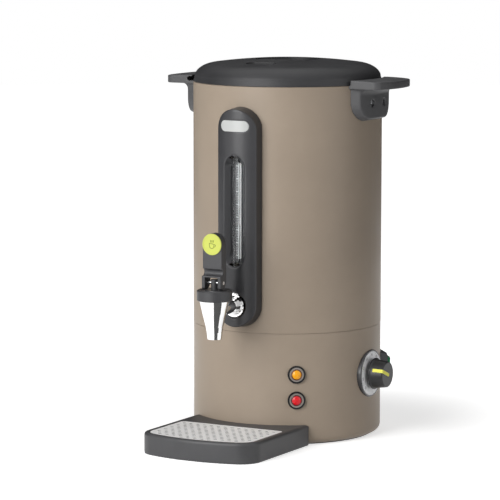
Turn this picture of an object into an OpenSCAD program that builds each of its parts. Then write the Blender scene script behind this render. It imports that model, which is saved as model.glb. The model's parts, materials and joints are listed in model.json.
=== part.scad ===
// Hot water urn: painted steel tank on a base skirt, lift-off lid, side handles, sight gauge, lever tap,
// thermostat knob, switch, indicator lights and a loose drip tray.
// Millimetres, +Z up. The origin is on the table under the urn's axis; the tap faces -Y and the knob +X.

/* [Body] */
// Outside diameter of the tank and the base skirt
body_d = 220; // [205:1:240]
// Height of the seam between base skirt and tank
seam_z = 129.5; // [126:0.5:134]
// Height of the tank wall above the seam
tank_h = 281.5; // [270:0.5:330]
// Sheet thickness of tank and skirt
sheet = 1.2; // [0.8:0.1:1.8]
// Height of the tank floor above the seam
floor_rise = 8.5; // [7:0.5:12]
// Radius of the rolled rim bead
bead_r = 1.5; // [1:0.1:1.8]

/* [Base] */
// Radius of the skirt's rounded bottom edge
skirt_edge_r = 7.4; // [5:0.2:9]
// Height of the rubber foot ring below the skirt
foot_h = 1.5; // [1:0.1:3]
// Width of the rubber foot ring
foot_w = 7; // [5:0.5:7.5]
// Thickness of the bottom plate
plate_t = 1.2; // [1:0.1:2]
// Diameter of a tie rod between tank floor and bottom plate
rod_d = 5; // [4:0.5:6]
// Distance of the tie rods' circle inside the body's outside
rod_inset = 24; // [22:1:27]

/* [Lid] */
// Height of the lid's vertical rim above the tank
lid_rim_h = 6; // [4:0.5:8]
// Height of the lid above the tank at its middle
lid_h = 27; // [25:0.5:32]
// Thickness of the lid's shell
lid_wall = 2.2; // [1.8:0.1:3]
// Diameter of the grip well in the middle of the lid
well_d = 76; // [68:1:84]
// Depth of the grip well
well_depth = 13; // [10:0.5:15]
// Width of the grip bar across the well
grip_w = 18; // [14:1:22]
// Length of the oval vent recess
vent_len = 38; // [32:1:42]
// Width of the oval vent recess
vent_w = 17; // [14:0.5:18]
// Distance of the vent recess from the axis
vent_off = 64; // [60:0.5:66]

/* [Handles] */
// Height of the grip plate's top above the tank's rim
grip_top = 6; // [4:0.5:8]
// Thickness of the grip plate
grip_t = 10; // [8:0.5:12]
// Reach of the grip plate from the wall at its middle
grip_reach = 36; // [30:1:44]
// Width of the grip plate
grip_len = 84; // [70:1:90]
// Width of the bracket at the wall
bracket_w = 80; // [66:1:82]
// Height of the bracket under the grip plate
bracket_h = 37.5; // [34:0.5:44]
// Thickness of the bracket
bracket_t = 9.5; // [8:0.5:11]
// Distance between the two handle screws
screw_pitch = 26; // [20:1:32]
// Diameter of a handle screw
screw_d = 4; // [3:0.5:5]

/* [Gauge panel] */
// Width of the panel
panel_w = 51; // [46:0.5:56]
// Height of the panel
panel_h = 253; // [244:1:256]
// Height of the panel's lower end above the seam
panel_low = 6; // [5:0.5:12]
// How far the panel's edge stands out of the wall
panel_edge = 10.8; // [9:0.2:12]
// How far the panel's middle stands out of the wall
panel_crown = 19; // [18:0.2:21]
// Wall thickness of the panel
panel_wall = 2.4; // [2:0.1:2.8]
// Width of the gauge slot
slot_w = 14; // [12.5:0.5:15]
// Length of the gauge slot
slot_len = 112; // [108:0.5:114]
// Height of the slot's lower end above the tap's shank
slot_low = 51.5; // [48:0.5:54]
// Outside diameter of the sight tube
tube_d = 9.2; // [8:0.1:9.6]
// Wall thickness of the sight tube
tube_wall = 1.2; // [0.8:0.1:1.5]
// Number of half-litre marks on the gauge
mark_count = 8; // [4:1:8]
// Distance from the end of the gauge slot to the first and the last mark
mark_margin = 4.4; // [3:0.1:8]
// Length of the pill-shaped plate
pill_len = 35.5; // [30:0.5:38]
// Height of the pill-shaped plate
pill_h = 12.5; // [10:0.5:14]

/* [Tap] */
// Height of the tap's shank above the seam
shank_rise = 33; // [32:0.5:38]
// Reach of the spout's axis from the wall
tap_reach = 62; // [58:1:70]
// Diameter of the tap's shank
shank_d = 16; // [14:0.5:17]
// Diameter of the rosette
rosette_d = 26; // [24:0.5:27]
// Top diameter of the spout cone
cone_d = 34; // [32:0.5:36]
// Outlet diameter of the spout
outlet_d = 16; // [15:0.5:18]
// Length of the spout below the collar
spout_len = 43.8; // [40:0.2:48]
// Diameter of the collar
collar_d = 40; // [39:0.5:44]
// Height of the collar
collar_h = 12.3; // [11:0.1:14]
// Diameter of the valve stem
stem_d = 8; // [7:0.2:8.4]
// Width of the lever
lever_w = 24.5; // [22:0.5:27]
// Thickness of the lever
lever_t = 11; // [10:0.2:12]
// Height of the lever above its pin
lever_h = 56; // [46:0.5:66]
// Thickness of each of the lever's two cheeks beside the stem
cheek_t = 4.2; // [3.2:0.1:5]
// Diameter of the round badge on the lever
badge_d = 24; // [18:0.5:24]
// Diameter of the lever's pin
pin_d = 4; // [3:0.1:4.6]
// Lift of the valve stem with the lever tipped right down
valve_lift = 1.9; // [1.5:0.1:2]
// Angle through which the lever tips
lever_tilt = 40; // [34:1:44]

/* [Lights] */
// Angle of the lights from the front, towards the knob
light_angle = 34; // [30:0.5:40]
// Height of the amber light
amber_z = 82.5; // [78:0.5:90]
// Height of the red light
red_z = 52.7; // [46:0.1:56]
// Outside diameter of a light's ring
ring_d = 20.5; // [19:0.5:22]
// Diameter of a light's lens
lens_d = 12; // [10:0.5:13]

/* [Knob] */
// Height of the knob's axis
knob_z = 75; // [68:0.5:82]
// Diameter of the dial's bezel
dial_d = 55; // [52:0.5:58]
// How far the dial stands out of the wall
dial_stand = 1.6; // [1.5:0.1:2.6]
// Diameter of the knob's flared foot
knob_d = 36.5; // [35.5:0.5:40]
// Diameter of the knob's face
knob_face_d = 30; // [28:0.5:31]
// Length of the knob
knob_len = 20.6; // [19:0.2:23]
// Diameter of the thermostat's spindle
spindle_d = 6; // [5:0.1:6.5]

/* [Switch] */
// Angle of the switch from the front
switch_angle = 120; // [119:0.5:128]
// Height of the switch's housing
switch_h = 37; // [34:0.5:40]
// Width of the switch's housing
switch_w = 27; // [25:0.5:28]
// How far the housing stands out of the wall
switch_stand = 8; // [7.5:0.5:9]
// Radius of the rocking key
key_r = 12; // [11:0.1:12.4]
// Tilt of the key to each side
key_tilt = 8; // [5:0.5:9]

/* [Inlet] */
// Height of the mains inlet gland at the back
gland_z = 35; // [30:0.5:45]
// Diameter of the cord passage
gland_bore_d = 7.2; // [6:0.1:8]

/* [Drip tray] */
// Width of the tray
tray_w = 147; // [140:1:160]
// Reach of the tray's front from the wall
tray_reach = 120; // [112:1:130]
// Height of the tray
tray_h = 24; // [20:0.5:26]
// Width of the tray's rim
tray_rim = 6.5; // [5.5:0.1:8.5]
// Depth of the grid below the rim
grid_drop = 0.5; // [0.3:0.1:2]
// Distance of the grid plate's straight back edge from the tank
grid_back = 20; // [17:0.5:24]
// Thickness of the perforated grid
grid_t = 1; // [0.8:0.1:1.4]
// Distance between slots along a row of the grid
slot_pitch_x = 9; // [8.5:0.1:12]
// Distance between rows of slots
slot_pitch_y = 7; // [6.5:0.1:10]
// Length of a slot in the grid
grid_slot_len = 4.6; // [3.5:0.1:5]
// Width of a slot in the grid
grid_slot_w = 2.4; // [1.8:0.1:3]

/* [Inside] */
// Diameter of the heating element's tube
element_d = 8; // [7:0.5:9]
// Radius of the heating element's ring
element_ring_r = 55; // [52:1:58]
// Thickness of the aluminium heat plate
heat_plate_t = 5; // [4:0.5:6]

/* [Hidden] */
$fn = 96;

// Small overlap that makes a cut go right through
eps = 0.1;
// Gap of a fixed piece against what it sits on
fit = 0.05;
// Radial running clearance of a turning or sliding pin
run_fit = 0.05;
// Gap between pieces of different moving bodies
part_gap = 0.3;

body_r = body_d / 2;
inner_r = body_r - sheet;
rim_z = seam_z + tank_h;
floor_z = seam_z + floor_rise;
skirt_r = body_r - 0.2;
skirt_in_r = skirt_r - sheet;
collar_out_r = skirt_in_r - fit;

// Base
flange_in_r = skirt_r - skirt_edge_r - foot_w - 3;
plate_z = foot_h + sheet;
plate_r = skirt_r - skirt_edge_r - 0.4;
rod_count = 4;
rod_start = 60;
rod_nut_d = 9;
rod_nut_h = 2.2;

// Lid
lid_gap = part_gap;
lid_base_z = rim_z + lid_gap;
lid_top_z = rim_z + lid_h;
lid_r = body_r;
lid_rim_in = 1.6;
lid_dome_drop = 9;
lid_shoulder_r = 88;
plug_r = body_r - 2 * bead_r - 0.6;
plug_wall = 2;
plug_h = 9;
seal_h = 1.8;
well_floor_z = lid_top_z - well_depth;
vent_depth = 4;

// Handles
plate_top_z = rim_z + grip_top;
plate_low_z = plate_top_z - grip_t;
bracket_low_z = plate_low_z - bracket_h;
bracket_taper = 5.3;
bracket_corner_r = 23;
bracket_fillet_r = 8;
grip_gap = 2;
grip_bow = 8;
grip_corner_r = 9;
screw_z = plate_low_z - 17;
screw_angle = asin(screw_pitch / 2 / body_r);
screw_head_x = body_r + bracket_t - 5.2;
notch_deep = 8.6;
notch_tall = 5;

// Gauge panel
panel_z = seam_z + panel_low;
panel_taper = 1;
panel_end_taper = 2.5;
panel_edge_y = body_r + panel_edge;
panel_crown_y = body_r + panel_crown;
panel_sag = panel_crown_y - panel_edge_y;
panel_half = panel_w / 2 - panel_taper;
panel_arc_r = (panel_half * panel_half + panel_sag * panel_sag) / (2 * panel_sag);
shank_z = seam_z + shank_rise;
slot_z = shank_z + slot_low;
slot_dish = 10;
slot_dish_deep = 8.7;
tube_y = panel_crown_y - panel_wall - tube_d / 2;
channel_back_y = tube_y - tube_d / 2 - 1.2;
channel_wall = 1.8;
channel_side = 6;
channel_end = 4;
tube_low_z = shank_z + 10;
tube_top_z = slot_z + slot_len + channel_end + 6;
tube_boss_r = tube_d / 2 + 1.2;
tube_boss_h = 22;
mark_t = 1;
mark_pitch = (slot_len - 2 * mark_margin - mark_t) / (mark_count - 1);
mark_z = slot_z + mark_margin;
rod_ring_r = body_r - rod_inset;
pill_z = panel_z + panel_h - 21.3;
pill_sunk = 0.8;
pill_proud = 0.5;

// Tap
tap_y = body_r + tap_reach;
collar_z = shank_z + 11.2;
collar_top_z = collar_z + collar_h;
spout_tip_z = collar_z - spout_len;
chamber_r = 11;
neck_r = 15;
neck_h = 7;
seat_z = shank_z - 7;
stem_hole_r = stem_d / 2 + run_fit;
tee_r = 12.4;
tee_back_y = body_r + 1.2;
tee_front_y = panel_crown_y - 4;
rosette_t = 3.6;
shank_in = 14;
washer_t = 3.2;
cam_r = 7.8;
cam_off = valve_lift / sin(lever_tilt);
pin_z = collar_top_z + part_gap + cam_r;
lever_top_r = lever_w / 2;
fork_gap_w = lever_w - 2 * cheek_t;
stem_top_z = pin_z + pin_d / 2 + 1.9;
fork_roof_z = stem_top_z + valve_lift + 0.4;
badge_t = 1.2;
badge_sunk = 0.8;

// Lights
light_stand = 2;
light_depth = 24;
light_face = body_r + 0.3;
light_body_d = 14;

// Knob
dial_face_x = body_r + dial_stand;
knob_x = dial_face_x + part_gap;
dial_ring_d = dial_d - 4;
dial_ring_t = 1;
dial_hole_r = 8.6;
bushing_d = 10;
bushing_nut_h = 2.5;
stat_x = body_r - 26;
stat_deep = 20;
stat_box = 34;
pointer_angle = 68;
pointer_w = 3.8;

// Switch
switch_front = body_r + switch_stand;
switch_slope = 2.5;
switch_fall = (switch_h / 2 - key_r - part_gap) * 0.8;
key_pivot = body_r + 4;
key_w = 13.4;
key_front = 7;
window_w = key_w + 2 * part_gap;
window_h = 2 * key_r + 2 * part_gap;
switch_wall = 1.7;
switch_deep = 28;
switch_box_w = window_w + 2 * switch_wall;
switch_box_h = window_h + 2 * switch_wall;
trunnion_r = 1.6;
trunnion_len = 1.2;

// Gland
gland_hex_d = 20;
gland_out = 14;
gland_in = 14;
gland_barrel_r = gland_bore_d / 2 + 2.4;

// Tray
tray_gap = 0.4;
tray_floor = 2.5;
tray_wall = 2.5;
tray_corner_r = 26;
tray_ledge = 3;
tray_edge_r = 2.8;
tray_front_y = body_r + tray_reach;
tray_arc_r = 190;
grid_top_z = tray_h - grid_drop;
grid_gap = 0.4;
grid_margin = 3.5;
grid_corner_r = 6;

// Inside the base
heat_plate_r = element_ring_r + 13;
heat_plate_z = floor_z - heat_plate_t;
element_z = heat_plate_z - element_d / 2 - fit;
element_gap_deg = 42;
clamp_t = 3;
clamp_w = 14;
clamp_z = element_z - element_d / 2 - clamp_t - fit;
clamp_stud_d = 6;
clamp_nut_h = 5;
bulb_r = 2;
bulb_y = -13;
capillary_r = 1;
capillary_bend = 6;

// Colours
taupe = [0.64, 0.59, 0.53];
charcoal = [0.25, 0.25, 0.26];
black = [0.13, 0.13, 0.14];
chrome = [0.86, 0.87, 0.88];
steel = [0.74, 0.75, 0.76];
lime = [0.86, 0.93, 0.32];
amber = [0.96, 0.66, 0.10];
red = [0.84, 0.10, 0.12];
white = [0.94, 0.94, 0.92];

// Places a child modelled with +X outwards at an angle from the front, at height z
module on_wall(angle, z) {
    rotate([0, 0, angle - 90])
        translate([0, 0, z])
            children();
}

// A cylinder that lies along +X from x = 0
module rod_x(r, len) {
    rotate([0, 90, 0])
        cylinder(r = r, h = len);
}

// A cylinder that lies along -Y from distance y0 to y1 of the axis
module rod_front(r, y0, y1) {
    rotate([90, 0, 0])
        translate([0, 0, y0])
            cylinder(r = r, h = y1 - y0);
}

// A tube standing on z = 0
module ring(outer, inner, h) {
    difference() {
        cylinder(r = outer, h = h);
        translate([0, 0, -eps])
            cylinder(r = inner, h = h + 2 * eps);
    }
}

// A pill-shaped plate in the XZ plane, standing from y = 0 to y = -t, its lower end at z = 0
module pill_plate(w, h, t) {
    rotate([90, 0, 0])
        linear_extrude(t)
            union() {
                translate([-w / 2, w / 2])
                    square([w, h - w]);
                translate([0, w / 2])
                    circle(d = w);
                translate([0, h - w / 2])
                    circle(d = w);
            }
}

// A pill lying along X, centred on the origin, from z = 0 to z = h
module pill_x(len, w, h) {
    linear_extrude(h)
        union() {
            translate([-(len - w) / 2, -w / 2])
                square([len - w, w]);
            for (side = [-1, 1])
                translate([side * (len - w) / 2, 0])
                    circle(d = w);
        }
}

// An outline that looks towards +X: straight sides, a bowed front edge and two rounded corners.
// Its front corners' circles touch the bowed edge and the sides.
module bow_outline(half, mid, bow_r, corner_r, back) {
    bow_x = mid - bow_r;
    reach = sqrt(pow(bow_r - corner_r, 2) - pow(half - corner_r, 2));
    corner_x = bow_x + reach;
    fan = asin((half - corner_r) / (bow_r - corner_r));
    union() {
        translate([back, -half])
            square([corner_x - back, 2 * half]);
        for (side = [-1, 1])
            translate([corner_x, side * (half - corner_r)])
                circle(r = corner_r);
        intersection() {
            translate([bow_x, 0])
                circle(r = bow_r);
            polygon([
                [bow_x, 0], [bow_x + 2 * bow_r * cos(fan), -2 * bow_r * sin(fan)],
                [bow_x + 2 * bow_r * cos(fan), 2 * bow_r * sin(fan)]
            ]);
        }
    }
}

// A cylinder about the urn's axis that shapes pieces to the wall
module wall_solid(r, low, high) {
    translate([0, 0, low])
        cylinder(r = r, h = high - low, $fn = 720);
}

// Everything outside a radius, between two heights
module outside(r, low, high) {
    translate([0, 0, low])
        difference() {
            cylinder(r = r + body_d, h = high - low);
            translate([0, 0, -eps])
                cylinder(r = r, h = high - low + 2 * eps, $fn = 720);
        }
}

// ---- Body ----

module tank() {
    joggle = 2;
    collar_deep = 10;
    color(taupe)
        difference() {
            union() {
                translate([0, 0, seam_z])
                    ring(body_r, inner_r, tank_h - bead_r);
                // rolled rim
                translate([0, 0, rim_z - bead_r])
                    rotate_extrude()
                        translate([body_r - bead_r, 0])
                            circle(r = bead_r, $fn = 32);
                // stepped collar that the skirt fits over
                translate([0, 0, seam_z - collar_deep])
                    ring(collar_out_r, collar_out_r - sheet, collar_deep + joggle);
                translate([0, 0, seam_z])
                    ring(body_r, collar_out_r - sheet, joggle);
            }
            translate([0, 0, shank_z])
                rod_front(shank_d / 2 + 0.3, inner_r - 6, body_r + 6);
            for (side = [90, 270], turn = [-1, 1])
                on_wall(side + turn * screw_angle, screw_z)
                    translate([inner_r - 6, 0, 0])
                        rod_x(screw_d / 2 + 0.2, 12);
        }
}

// Floor disc, welded into the tank's wall
module tank_floor() {
    color(steel)
        translate([0, 0, floor_z])
            cylinder(r = inner_r - fit, h = sheet);
}

module base_skirt() {
    edge_z = foot_h + skirt_edge_r;
    color(taupe)
        difference() {
            union() {
                translate([0, 0, edge_z])
                    ring(skirt_r, skirt_r - sheet, seam_z - 0.4 - edge_z);
                // rounded bottom edge
                rotate_extrude()
                    translate([skirt_r - skirt_edge_r, edge_z])
                        intersection() {
                            difference() {
                                circle(r = skirt_edge_r);
                                circle(r = skirt_edge_r - sheet);
                            }
                            translate([0, -skirt_edge_r - 1])
                                square([skirt_edge_r + 1, skirt_edge_r + 1]);
                        }
                translate([0, 0, foot_h])
                    ring(skirt_r - skirt_edge_r, flange_in_r, sheet);
            }
            for (z = [amber_z, red_z])
                on_wall(light_angle, z)
                    translate([body_r - 20, 0, 0])
                        rod_x(light_body_d / 2 + 0.2, 30);
            on_wall(90, knob_z)
                translate([body_r - 20, 0, 0])
                    rod_x(bushing_d / 2 + 0.2, 30);
            on_wall(switch_angle, knob_z)
                translate([body_r - 20, -switch_box_w / 2 - 0.2, -switch_box_h / 2 - 0.2])
                    cube([30, switch_box_w + 0.4, switch_box_h + 0.4]);
            on_wall(180, gland_z)
                translate([body_r - 20, 0, 0])
                    rod_x(gland_barrel_r + 0.2, 30);
        }
}

module base_plate() {
    vent_rows = 5;
    vent_slot_w = 5;
    vent_slot_len = body_r * 0.51;
    vent_step = body_r * 0.127;
    color(steel)
        translate([0, 0, plate_z])
            difference() {
                cylinder(r = plate_r, h = plate_t);
                for (k = [0:rod_count - 1])
                    rotate([0, 0, rod_start + k * 360 / rod_count])
                        translate([0, -rod_ring_r, -eps])
                            cylinder(r = rod_d / 2 + 0.2, h = plate_t + 2 * eps);
                for (row = [0:vent_rows - 1])
                    translate([0, -(vent_rows - 1) * vent_step / 2 + row * vent_step, -eps])
                        pill_x(vent_slot_len, vent_slot_w, plate_t + 2 * eps);
            }
}

module foot_ring() {
    ring_out = skirt_r - skirt_edge_r - 1;
    color(black)
        ring(ring_out, ring_out - foot_w, foot_h);
}

module at_rods() {
    for (k = [0:rod_count - 1])
        rotate([0, 0, rod_start + k * 360 / rod_count])
            translate([0, -rod_ring_r, 0])
                children();
}

module tie_rods() {
    low = plate_z - rod_nut_h;
    color(steel)
        at_rods()
            translate([0, 0, low])
                cylinder(r = rod_d / 2, h = floor_z - low);
}

module tie_nuts() {
    color(steel)
        at_rods()
            translate([0, 0, plate_z - rod_nut_h])
                difference() {
                    cylinder(d = rod_nut_d, h = rod_nut_h, $fn = 6);
                    translate([0, 0, -eps])
                        cylinder(r = rod_d / 2 + 0.02, h = rod_nut_h + 2 * eps);
                }
}

// ---- Lid ----

// Height of the lid's outer surface over the tank's rim at radius r
function lid_surface(r) =
    let (
        dome = lid_h - lid_dome_drop * pow(r / lid_r, 2),
        over = max(0, r - lid_shoulder_r) / (lid_r - lid_rim_in - lid_shoulder_r),
        edge = lid_h - lid_dome_drop - lid_rim_h
    )
    dome - edge * (1 - sqrt(max(0, 1 - over * over)));

shoulder_steps = 12;
dome_steps = 6;
function lid_radii() = concat(
    [for (k = [0:dome_steps - 1]) well_d / 2 + (lid_shoulder_r - well_d / 2) * k / dome_steps],
    [for (k = [0:shoulder_steps])
        lid_shoulder_r + (lid_r - lid_rim_in - lid_shoulder_r) * sin(90 * k / shoulder_steps)]
);

module lid_profile() {
    radii = lid_radii();
    in_r = plug_r - plug_wall;
    outer = [for (r = radii) [r, lid_surface(r)]];
    inner_radii = concat([for (r = radii) if (r < in_r - 1) r], [in_r]);
    inner = [for (k = [len(inner_radii) - 1:-1:0]) [inner_radii[k], lid_surface(inner_radii[k]) - lid_wall]];
    polygon(concat(outer, [[lid_r, lid_gap], [in_r, lid_gap]], inner));
}

// The space under the lid's outer surface, as a solid
module lid_envelope() {
    outer = [for (r = lid_radii()) [r, lid_surface(r) - 0.02]];
    translate([0, 0, rim_z])
        rotate_extrude()
            polygon(concat([[1, 0], [1, lid_surface(well_d / 2)]], outer, [[lid_r - lid_rim_in, 0]]));
}

module lid() {
    cup_r = well_d / 2 + lid_wall;
    vent_floor = lid_surface(vent_off) - vent_depth;
    groove_z = rim_z - bead_r;
    color(charcoal)
        difference() {
            union() {
                translate([0, 0, rim_z])
                    rotate_extrude()
                        lid_profile();
                // plug ring that goes into the tank's mouth
                translate([0, 0, rim_z - plug_h])
                    ring(plug_r, plug_r - plug_wall, plug_h + lid_gap + 1);
                // grip well
                translate([0, 0, well_floor_z - lid_wall])
                    ring(cup_r, well_d / 2, lid_surface(cup_r) + rim_z - well_floor_z + lid_wall - 0.4);
                translate([0, 0, well_floor_z - lid_wall])
                    cylinder(r = cup_r - 0.5, h = lid_wall);
                // grip bar
                grip_bar();
                // walls of the vent recess
                intersection() {
                    translate([0, -vent_off, rim_z + vent_floor - lid_wall])
                        pill_x(vent_len + 2 * lid_wall, vent_w + 2 * lid_wall, 3 * vent_depth);
                    lid_envelope();
                }
            }
            translate([0, -vent_off, rim_z + vent_floor])
                pill_x(vent_len, vent_w, 2 * vent_depth);
            for (k = [-2:2])
                translate([k * 5.4, -vent_off, rim_z + vent_floor - 2 * lid_wall])
                    rotate([0, 0, 90])
                        pill_x(vent_w - 5, 2.4, 3 * lid_wall);
            // groove for the seal
            translate([0, 0, groove_z - seal_h / 2 - fit])
                ring(plug_r + 1, plug_r - 1.2, seal_h + 2 * fit);
        }
}

module grip_bar() {
    bar_top = lid_top_z - 2.5;
    bar_half = sqrt(pow(well_d / 2 + 0.6, 2) - pow(grip_w / 2, 2));
    edge_r = 3;
    translate([-bar_half, -grip_w / 2, well_floor_z - lid_wall / 2])
        cube([2 * bar_half, grip_w, bar_top - edge_r - well_floor_z + lid_wall / 2]);
    translate([-bar_half, -grip_w / 2 + edge_r, well_floor_z])
        cube([2 * bar_half, grip_w - 2 * edge_r, bar_top - well_floor_z]);
    for (side = [-1, 1])
        translate([-bar_half, side * (grip_w / 2 - edge_r), bar_top - edge_r])
            rod_x(edge_r, 2 * bar_half);
}

module lid_seal() {
    color(white)
        translate([0, 0, rim_z - bead_r - seal_h / 2])
            ring(plug_r + 0.25, plug_r - 1.2 + fit, seal_h);
}

// ---- Handles ----

// The bracket's shield at a width, its top at z = 0
module shield(w, h, r) {
    union() {
        translate([-w / 2, -h + r])
            square([w, h - r]);
        translate([-w / 2 + r, -h])
            square([w - 2 * r, h]);
        for (side = [-1, 1])
            translate([side * (w / 2 - r), -h + r])
                circle(r = r, $fn = 64);
    }
}

module handle_bracket() {
    outer = body_r + bracket_t;
    face_w = bracket_w - 2 * bracket_taper;
    intersection() {
        translate([0, 0, plate_low_z + 1])
            rotate([90, 0, 90])
                hull() {
                    translate([0, 0, body_r * 0.9])
                        linear_extrude(body_r * 0.032)
                            shield(bracket_w, bracket_h + 3, bracket_corner_r);
                    translate([0, 0, outer + 0.6])
                        linear_extrude(0.4)
                            shield(face_w, bracket_h + 3 - bracket_taper, bracket_corner_r - bracket_taper);
                }
        translate([0, 0, bracket_low_z - 4])
            cylinder(r = outer, h = bracket_h + 6);
    }
    // fillet under the grip plate
    intersection() {
        difference() {
            translate([0, 0, plate_low_z - bracket_fillet_r])
                cylinder(r = outer + bracket_fillet_r, h = bracket_fillet_r + 1);
            translate([0, 0, plate_low_z - bracket_fillet_r])
                rotate_extrude()
                    translate([outer + bracket_fillet_r, 0])
                        circle(r = bracket_fillet_r);
        }
        translate([0, -face_w / 2 - 1, plate_low_z - bracket_fillet_r])
            cube([2 * outer, face_w + 2, bracket_fillet_r + 1]);
    }
}

// A handle at +X; the notch in its inner edge is open at its +Y end
module handle() {
    half = grip_len / 2 + 1;
    mid = body_r + grip_reach;
    bow_r = (half * half + grip_bow * grip_bow) / (2 * grip_bow);
    notch_z = rim_z - 0.7;
    difference() {
        union() {
            translate([0, 0, plate_low_z])
                linear_extrude(grip_t)
                    bow_outline(half, mid, bow_r, grip_corner_r, body_r * 0.85);
            handle_bracket();
        }
        // against the tank's wall
        wall_solid(body_r + fit, bracket_low_z - 5, plate_top_z + 5);
        // clear of the lid
        translate([0, 0, rim_z])
            cylinder(r = body_r + grip_gap, h = 2 * grip_t);
        // round-ended notch in the inner edge
        intersection() {
            translate([0, 0, notch_z])
                rotate_extrude()
                    union() {
                        translate([body_r - 5, 0])
                            square([notch_deep + 5 - notch_tall / 2, notch_tall]);
                        translate([body_r + notch_deep - notch_tall / 2, notch_tall / 2])
                            circle(d = notch_tall);
                    }
            translate([0, -half + 8, notch_z - 1])
                cube([2 * body_r, 3 * half, notch_tall + 2]);
        }
        for (turn = [-1, 1])
            rotate([0, 0, turn * screw_angle])
                translate([0, 0, screw_z]) {
                    translate([body_r - 5, 0, 0])
                        rod_x(screw_d / 2 + 0.3, 30);
                    translate([screw_head_x - fit, 0, 0])
                        rod_x(screw_d, 20);
                }
    }
}

module handle_right() {
    color(charcoal)
        handle();
}

module handle_left() {
    color(charcoal)
        rotate([0, 0, 180])
            handle();
}

module at_handle_screws() {
    for (side = [90, 270], turn = [-1, 1])
        on_wall(side + turn * screw_angle, screw_z)
            children();
}

module handle_screws() {
    head_r = screw_d - 0.4;
    color(steel)
        at_handle_screws()
            difference() {
                union() {
                    translate([inner_r - 5, 0, 0])
                        rod_x(screw_d / 2, screw_head_x + 1 - inner_r + 5);
                    translate([screw_head_x, 0, 0])
                        rod_x(head_r, 2.4);
                }
                for (cross = [0, 90])
                    translate([screw_head_x + 1.2, 0, 0])
                        rotate([cross, 0, 0])
                            translate([0, -0.5, -screw_d / 2])
                                cube([2, 1, screw_d]);
            }
}

module handle_nuts() {
    nut_t = 3.2;
    nut_r = screw_d + 0.6;
    face_x = sqrt(pow(inner_r - fit, 2) - nut_r * nut_r);
    color(steel)
        at_handle_screws()
            difference() {
                translate([face_x - nut_t, 0, 0])
                    rod_x(nut_r, nut_t);
                translate([inner_r - 20, 0, 0])
                    rod_x(screw_d / 2 + 0.02, 40);
            }
}

// ---- Gauge panel ----

module panel_block(shrink) {
    back = body_r * 0.9;
    edge_w = panel_w - 2 * shrink;
    edge_h = panel_h - 2 * shrink;
    intersection() {
        hull() {
            translate([0, -back, panel_z + shrink])
                pill_plate(edge_w, edge_h, body_r - back - 3);
            translate([0, -panel_crown_y - 1, panel_z + shrink + panel_end_taper])
                pill_plate(edge_w - 2 * panel_taper, edge_h - 2 * panel_end_taper, 0.5);
        }
        translate([0, -(panel_crown_y - panel_arc_r), panel_z - 10])
            cylinder(r = panel_arc_r - shrink, h = panel_h + 20);
    }
}

// The pill-shaped plate's outline, drawn through the panel's front
module pill_prism(grow) {
    translate([0, -body_r, pill_z])
        rotate([90, 0, 0])
            pill_x(pill_len + 2 * grow, pill_h + 2 * grow, 3 * panel_crown);
}

module gauge_panel() {
    channel_deep = panel_crown_y - channel_back_y + channel_wall;
    color(charcoal)
        difference() {
            panel_block(0);
            difference() {
                panel_block(panel_wall);
                // channel behind the slot
                translate([-slot_w / 2 - channel_side, -panel_crown_y, slot_z - channel_end])
                    cube([slot_w + 2 * channel_side, channel_deep, slot_len + 2 * channel_end]);
            }
            // against the tank's wall
            wall_solid(body_r + fit, panel_z - 10, panel_z + panel_h + 10);
            // slot with dished edges
            translate([0, -channel_back_y, slot_z])
                pill_plate(slot_w, slot_len, 40);
            hull() {
                translate([0, -(panel_crown_y - slot_dish_deep), slot_z])
                    pill_plate(slot_w, slot_len, 0.1);
                translate([0, -(panel_crown_y - slot_dish_deep + slot_dish), slot_z - slot_dish])
                    pill_plate(slot_w + 2 * slot_dish, slot_len + 2 * slot_dish, 0.1);
            }
            // passage of the sight tube, its cap and its boss
            translate([0, -tube_y, shank_z])
                cylinder(r = tube_d / 2 + 0.1, h = tube_top_z - shank_z);
            translate([0, -tube_y, shank_z])
                cylinder(r = tube_boss_r + 0.3, h = tube_boss_h + 1);
            translate([0, -tube_y, tube_top_z - 3.1])
                cylinder(r = tube_d / 2 + 1.4, h = 6);
            // hole for the rosette
            translate([0, 0, shank_z])
                rod_front(rosette_d / 2 + 1.2, body_r - 10, panel_crown_y + 5);
            // seat of the pill-shaped plate
            difference() {
                pill_prism(0.2);
                translate([0, -(panel_crown_y - panel_arc_r), pill_z - pill_h])
                    cylinder(r = panel_arc_r - pill_sunk - fit, h = 2 * pill_h);
            }
        }
}

module name_plate() {
    color(white)
        intersection() {
            pill_prism(0);
            translate([0, -(panel_crown_y - panel_arc_r), pill_z - pill_h])
                ring(panel_arc_r + pill_proud, panel_arc_r - pill_sunk, 2 * pill_h);
        }
}

module sight_tube() {
    color([0.85, 0.9, 0.92, 0.5])
        translate([0, -tube_y, tube_low_z])
            ring(tube_d / 2, tube_d / 2 - tube_wall, tube_top_z - tube_low_z);
}

// A strip behind the tube with raised marks
module gauge_scale() {
    strip_w = 6;
    strip_t = 0.7;
    strip_y = channel_back_y + strip_t;
    color(steel)
        union() {
            translate([-strip_w / 2, -strip_y, slot_z + 1])
                cube([strip_w, strip_t - fit, slot_len - 2]);
            for (k = [0:mark_count - 1])
                translate([-strip_w / 2, -strip_y - 0.3, mark_z + k * mark_pitch])
                    cube([strip_w / 2, 0.5, mark_t]);
        }
}

module tube_seal() {
    color(black)
        translate([0, -tube_y, tube_low_z - 1.5])
            ring(tube_d / 2, 2.5, 1.5);
}

module tube_cap() {
    color(black)
        difference() {
            translate([0, -tube_y, tube_top_z - 3])
                cylinder(r = tube_d / 2 + 1.2, h = 5);
            translate([0, -tube_y, tube_top_z - 4])
                cylinder(r = tube_d / 2 + fit, h = 4);
            translate([0, -tube_y, tube_top_z - 4])
                cylinder(r = 0.8, h = 12);
        }
}

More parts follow.
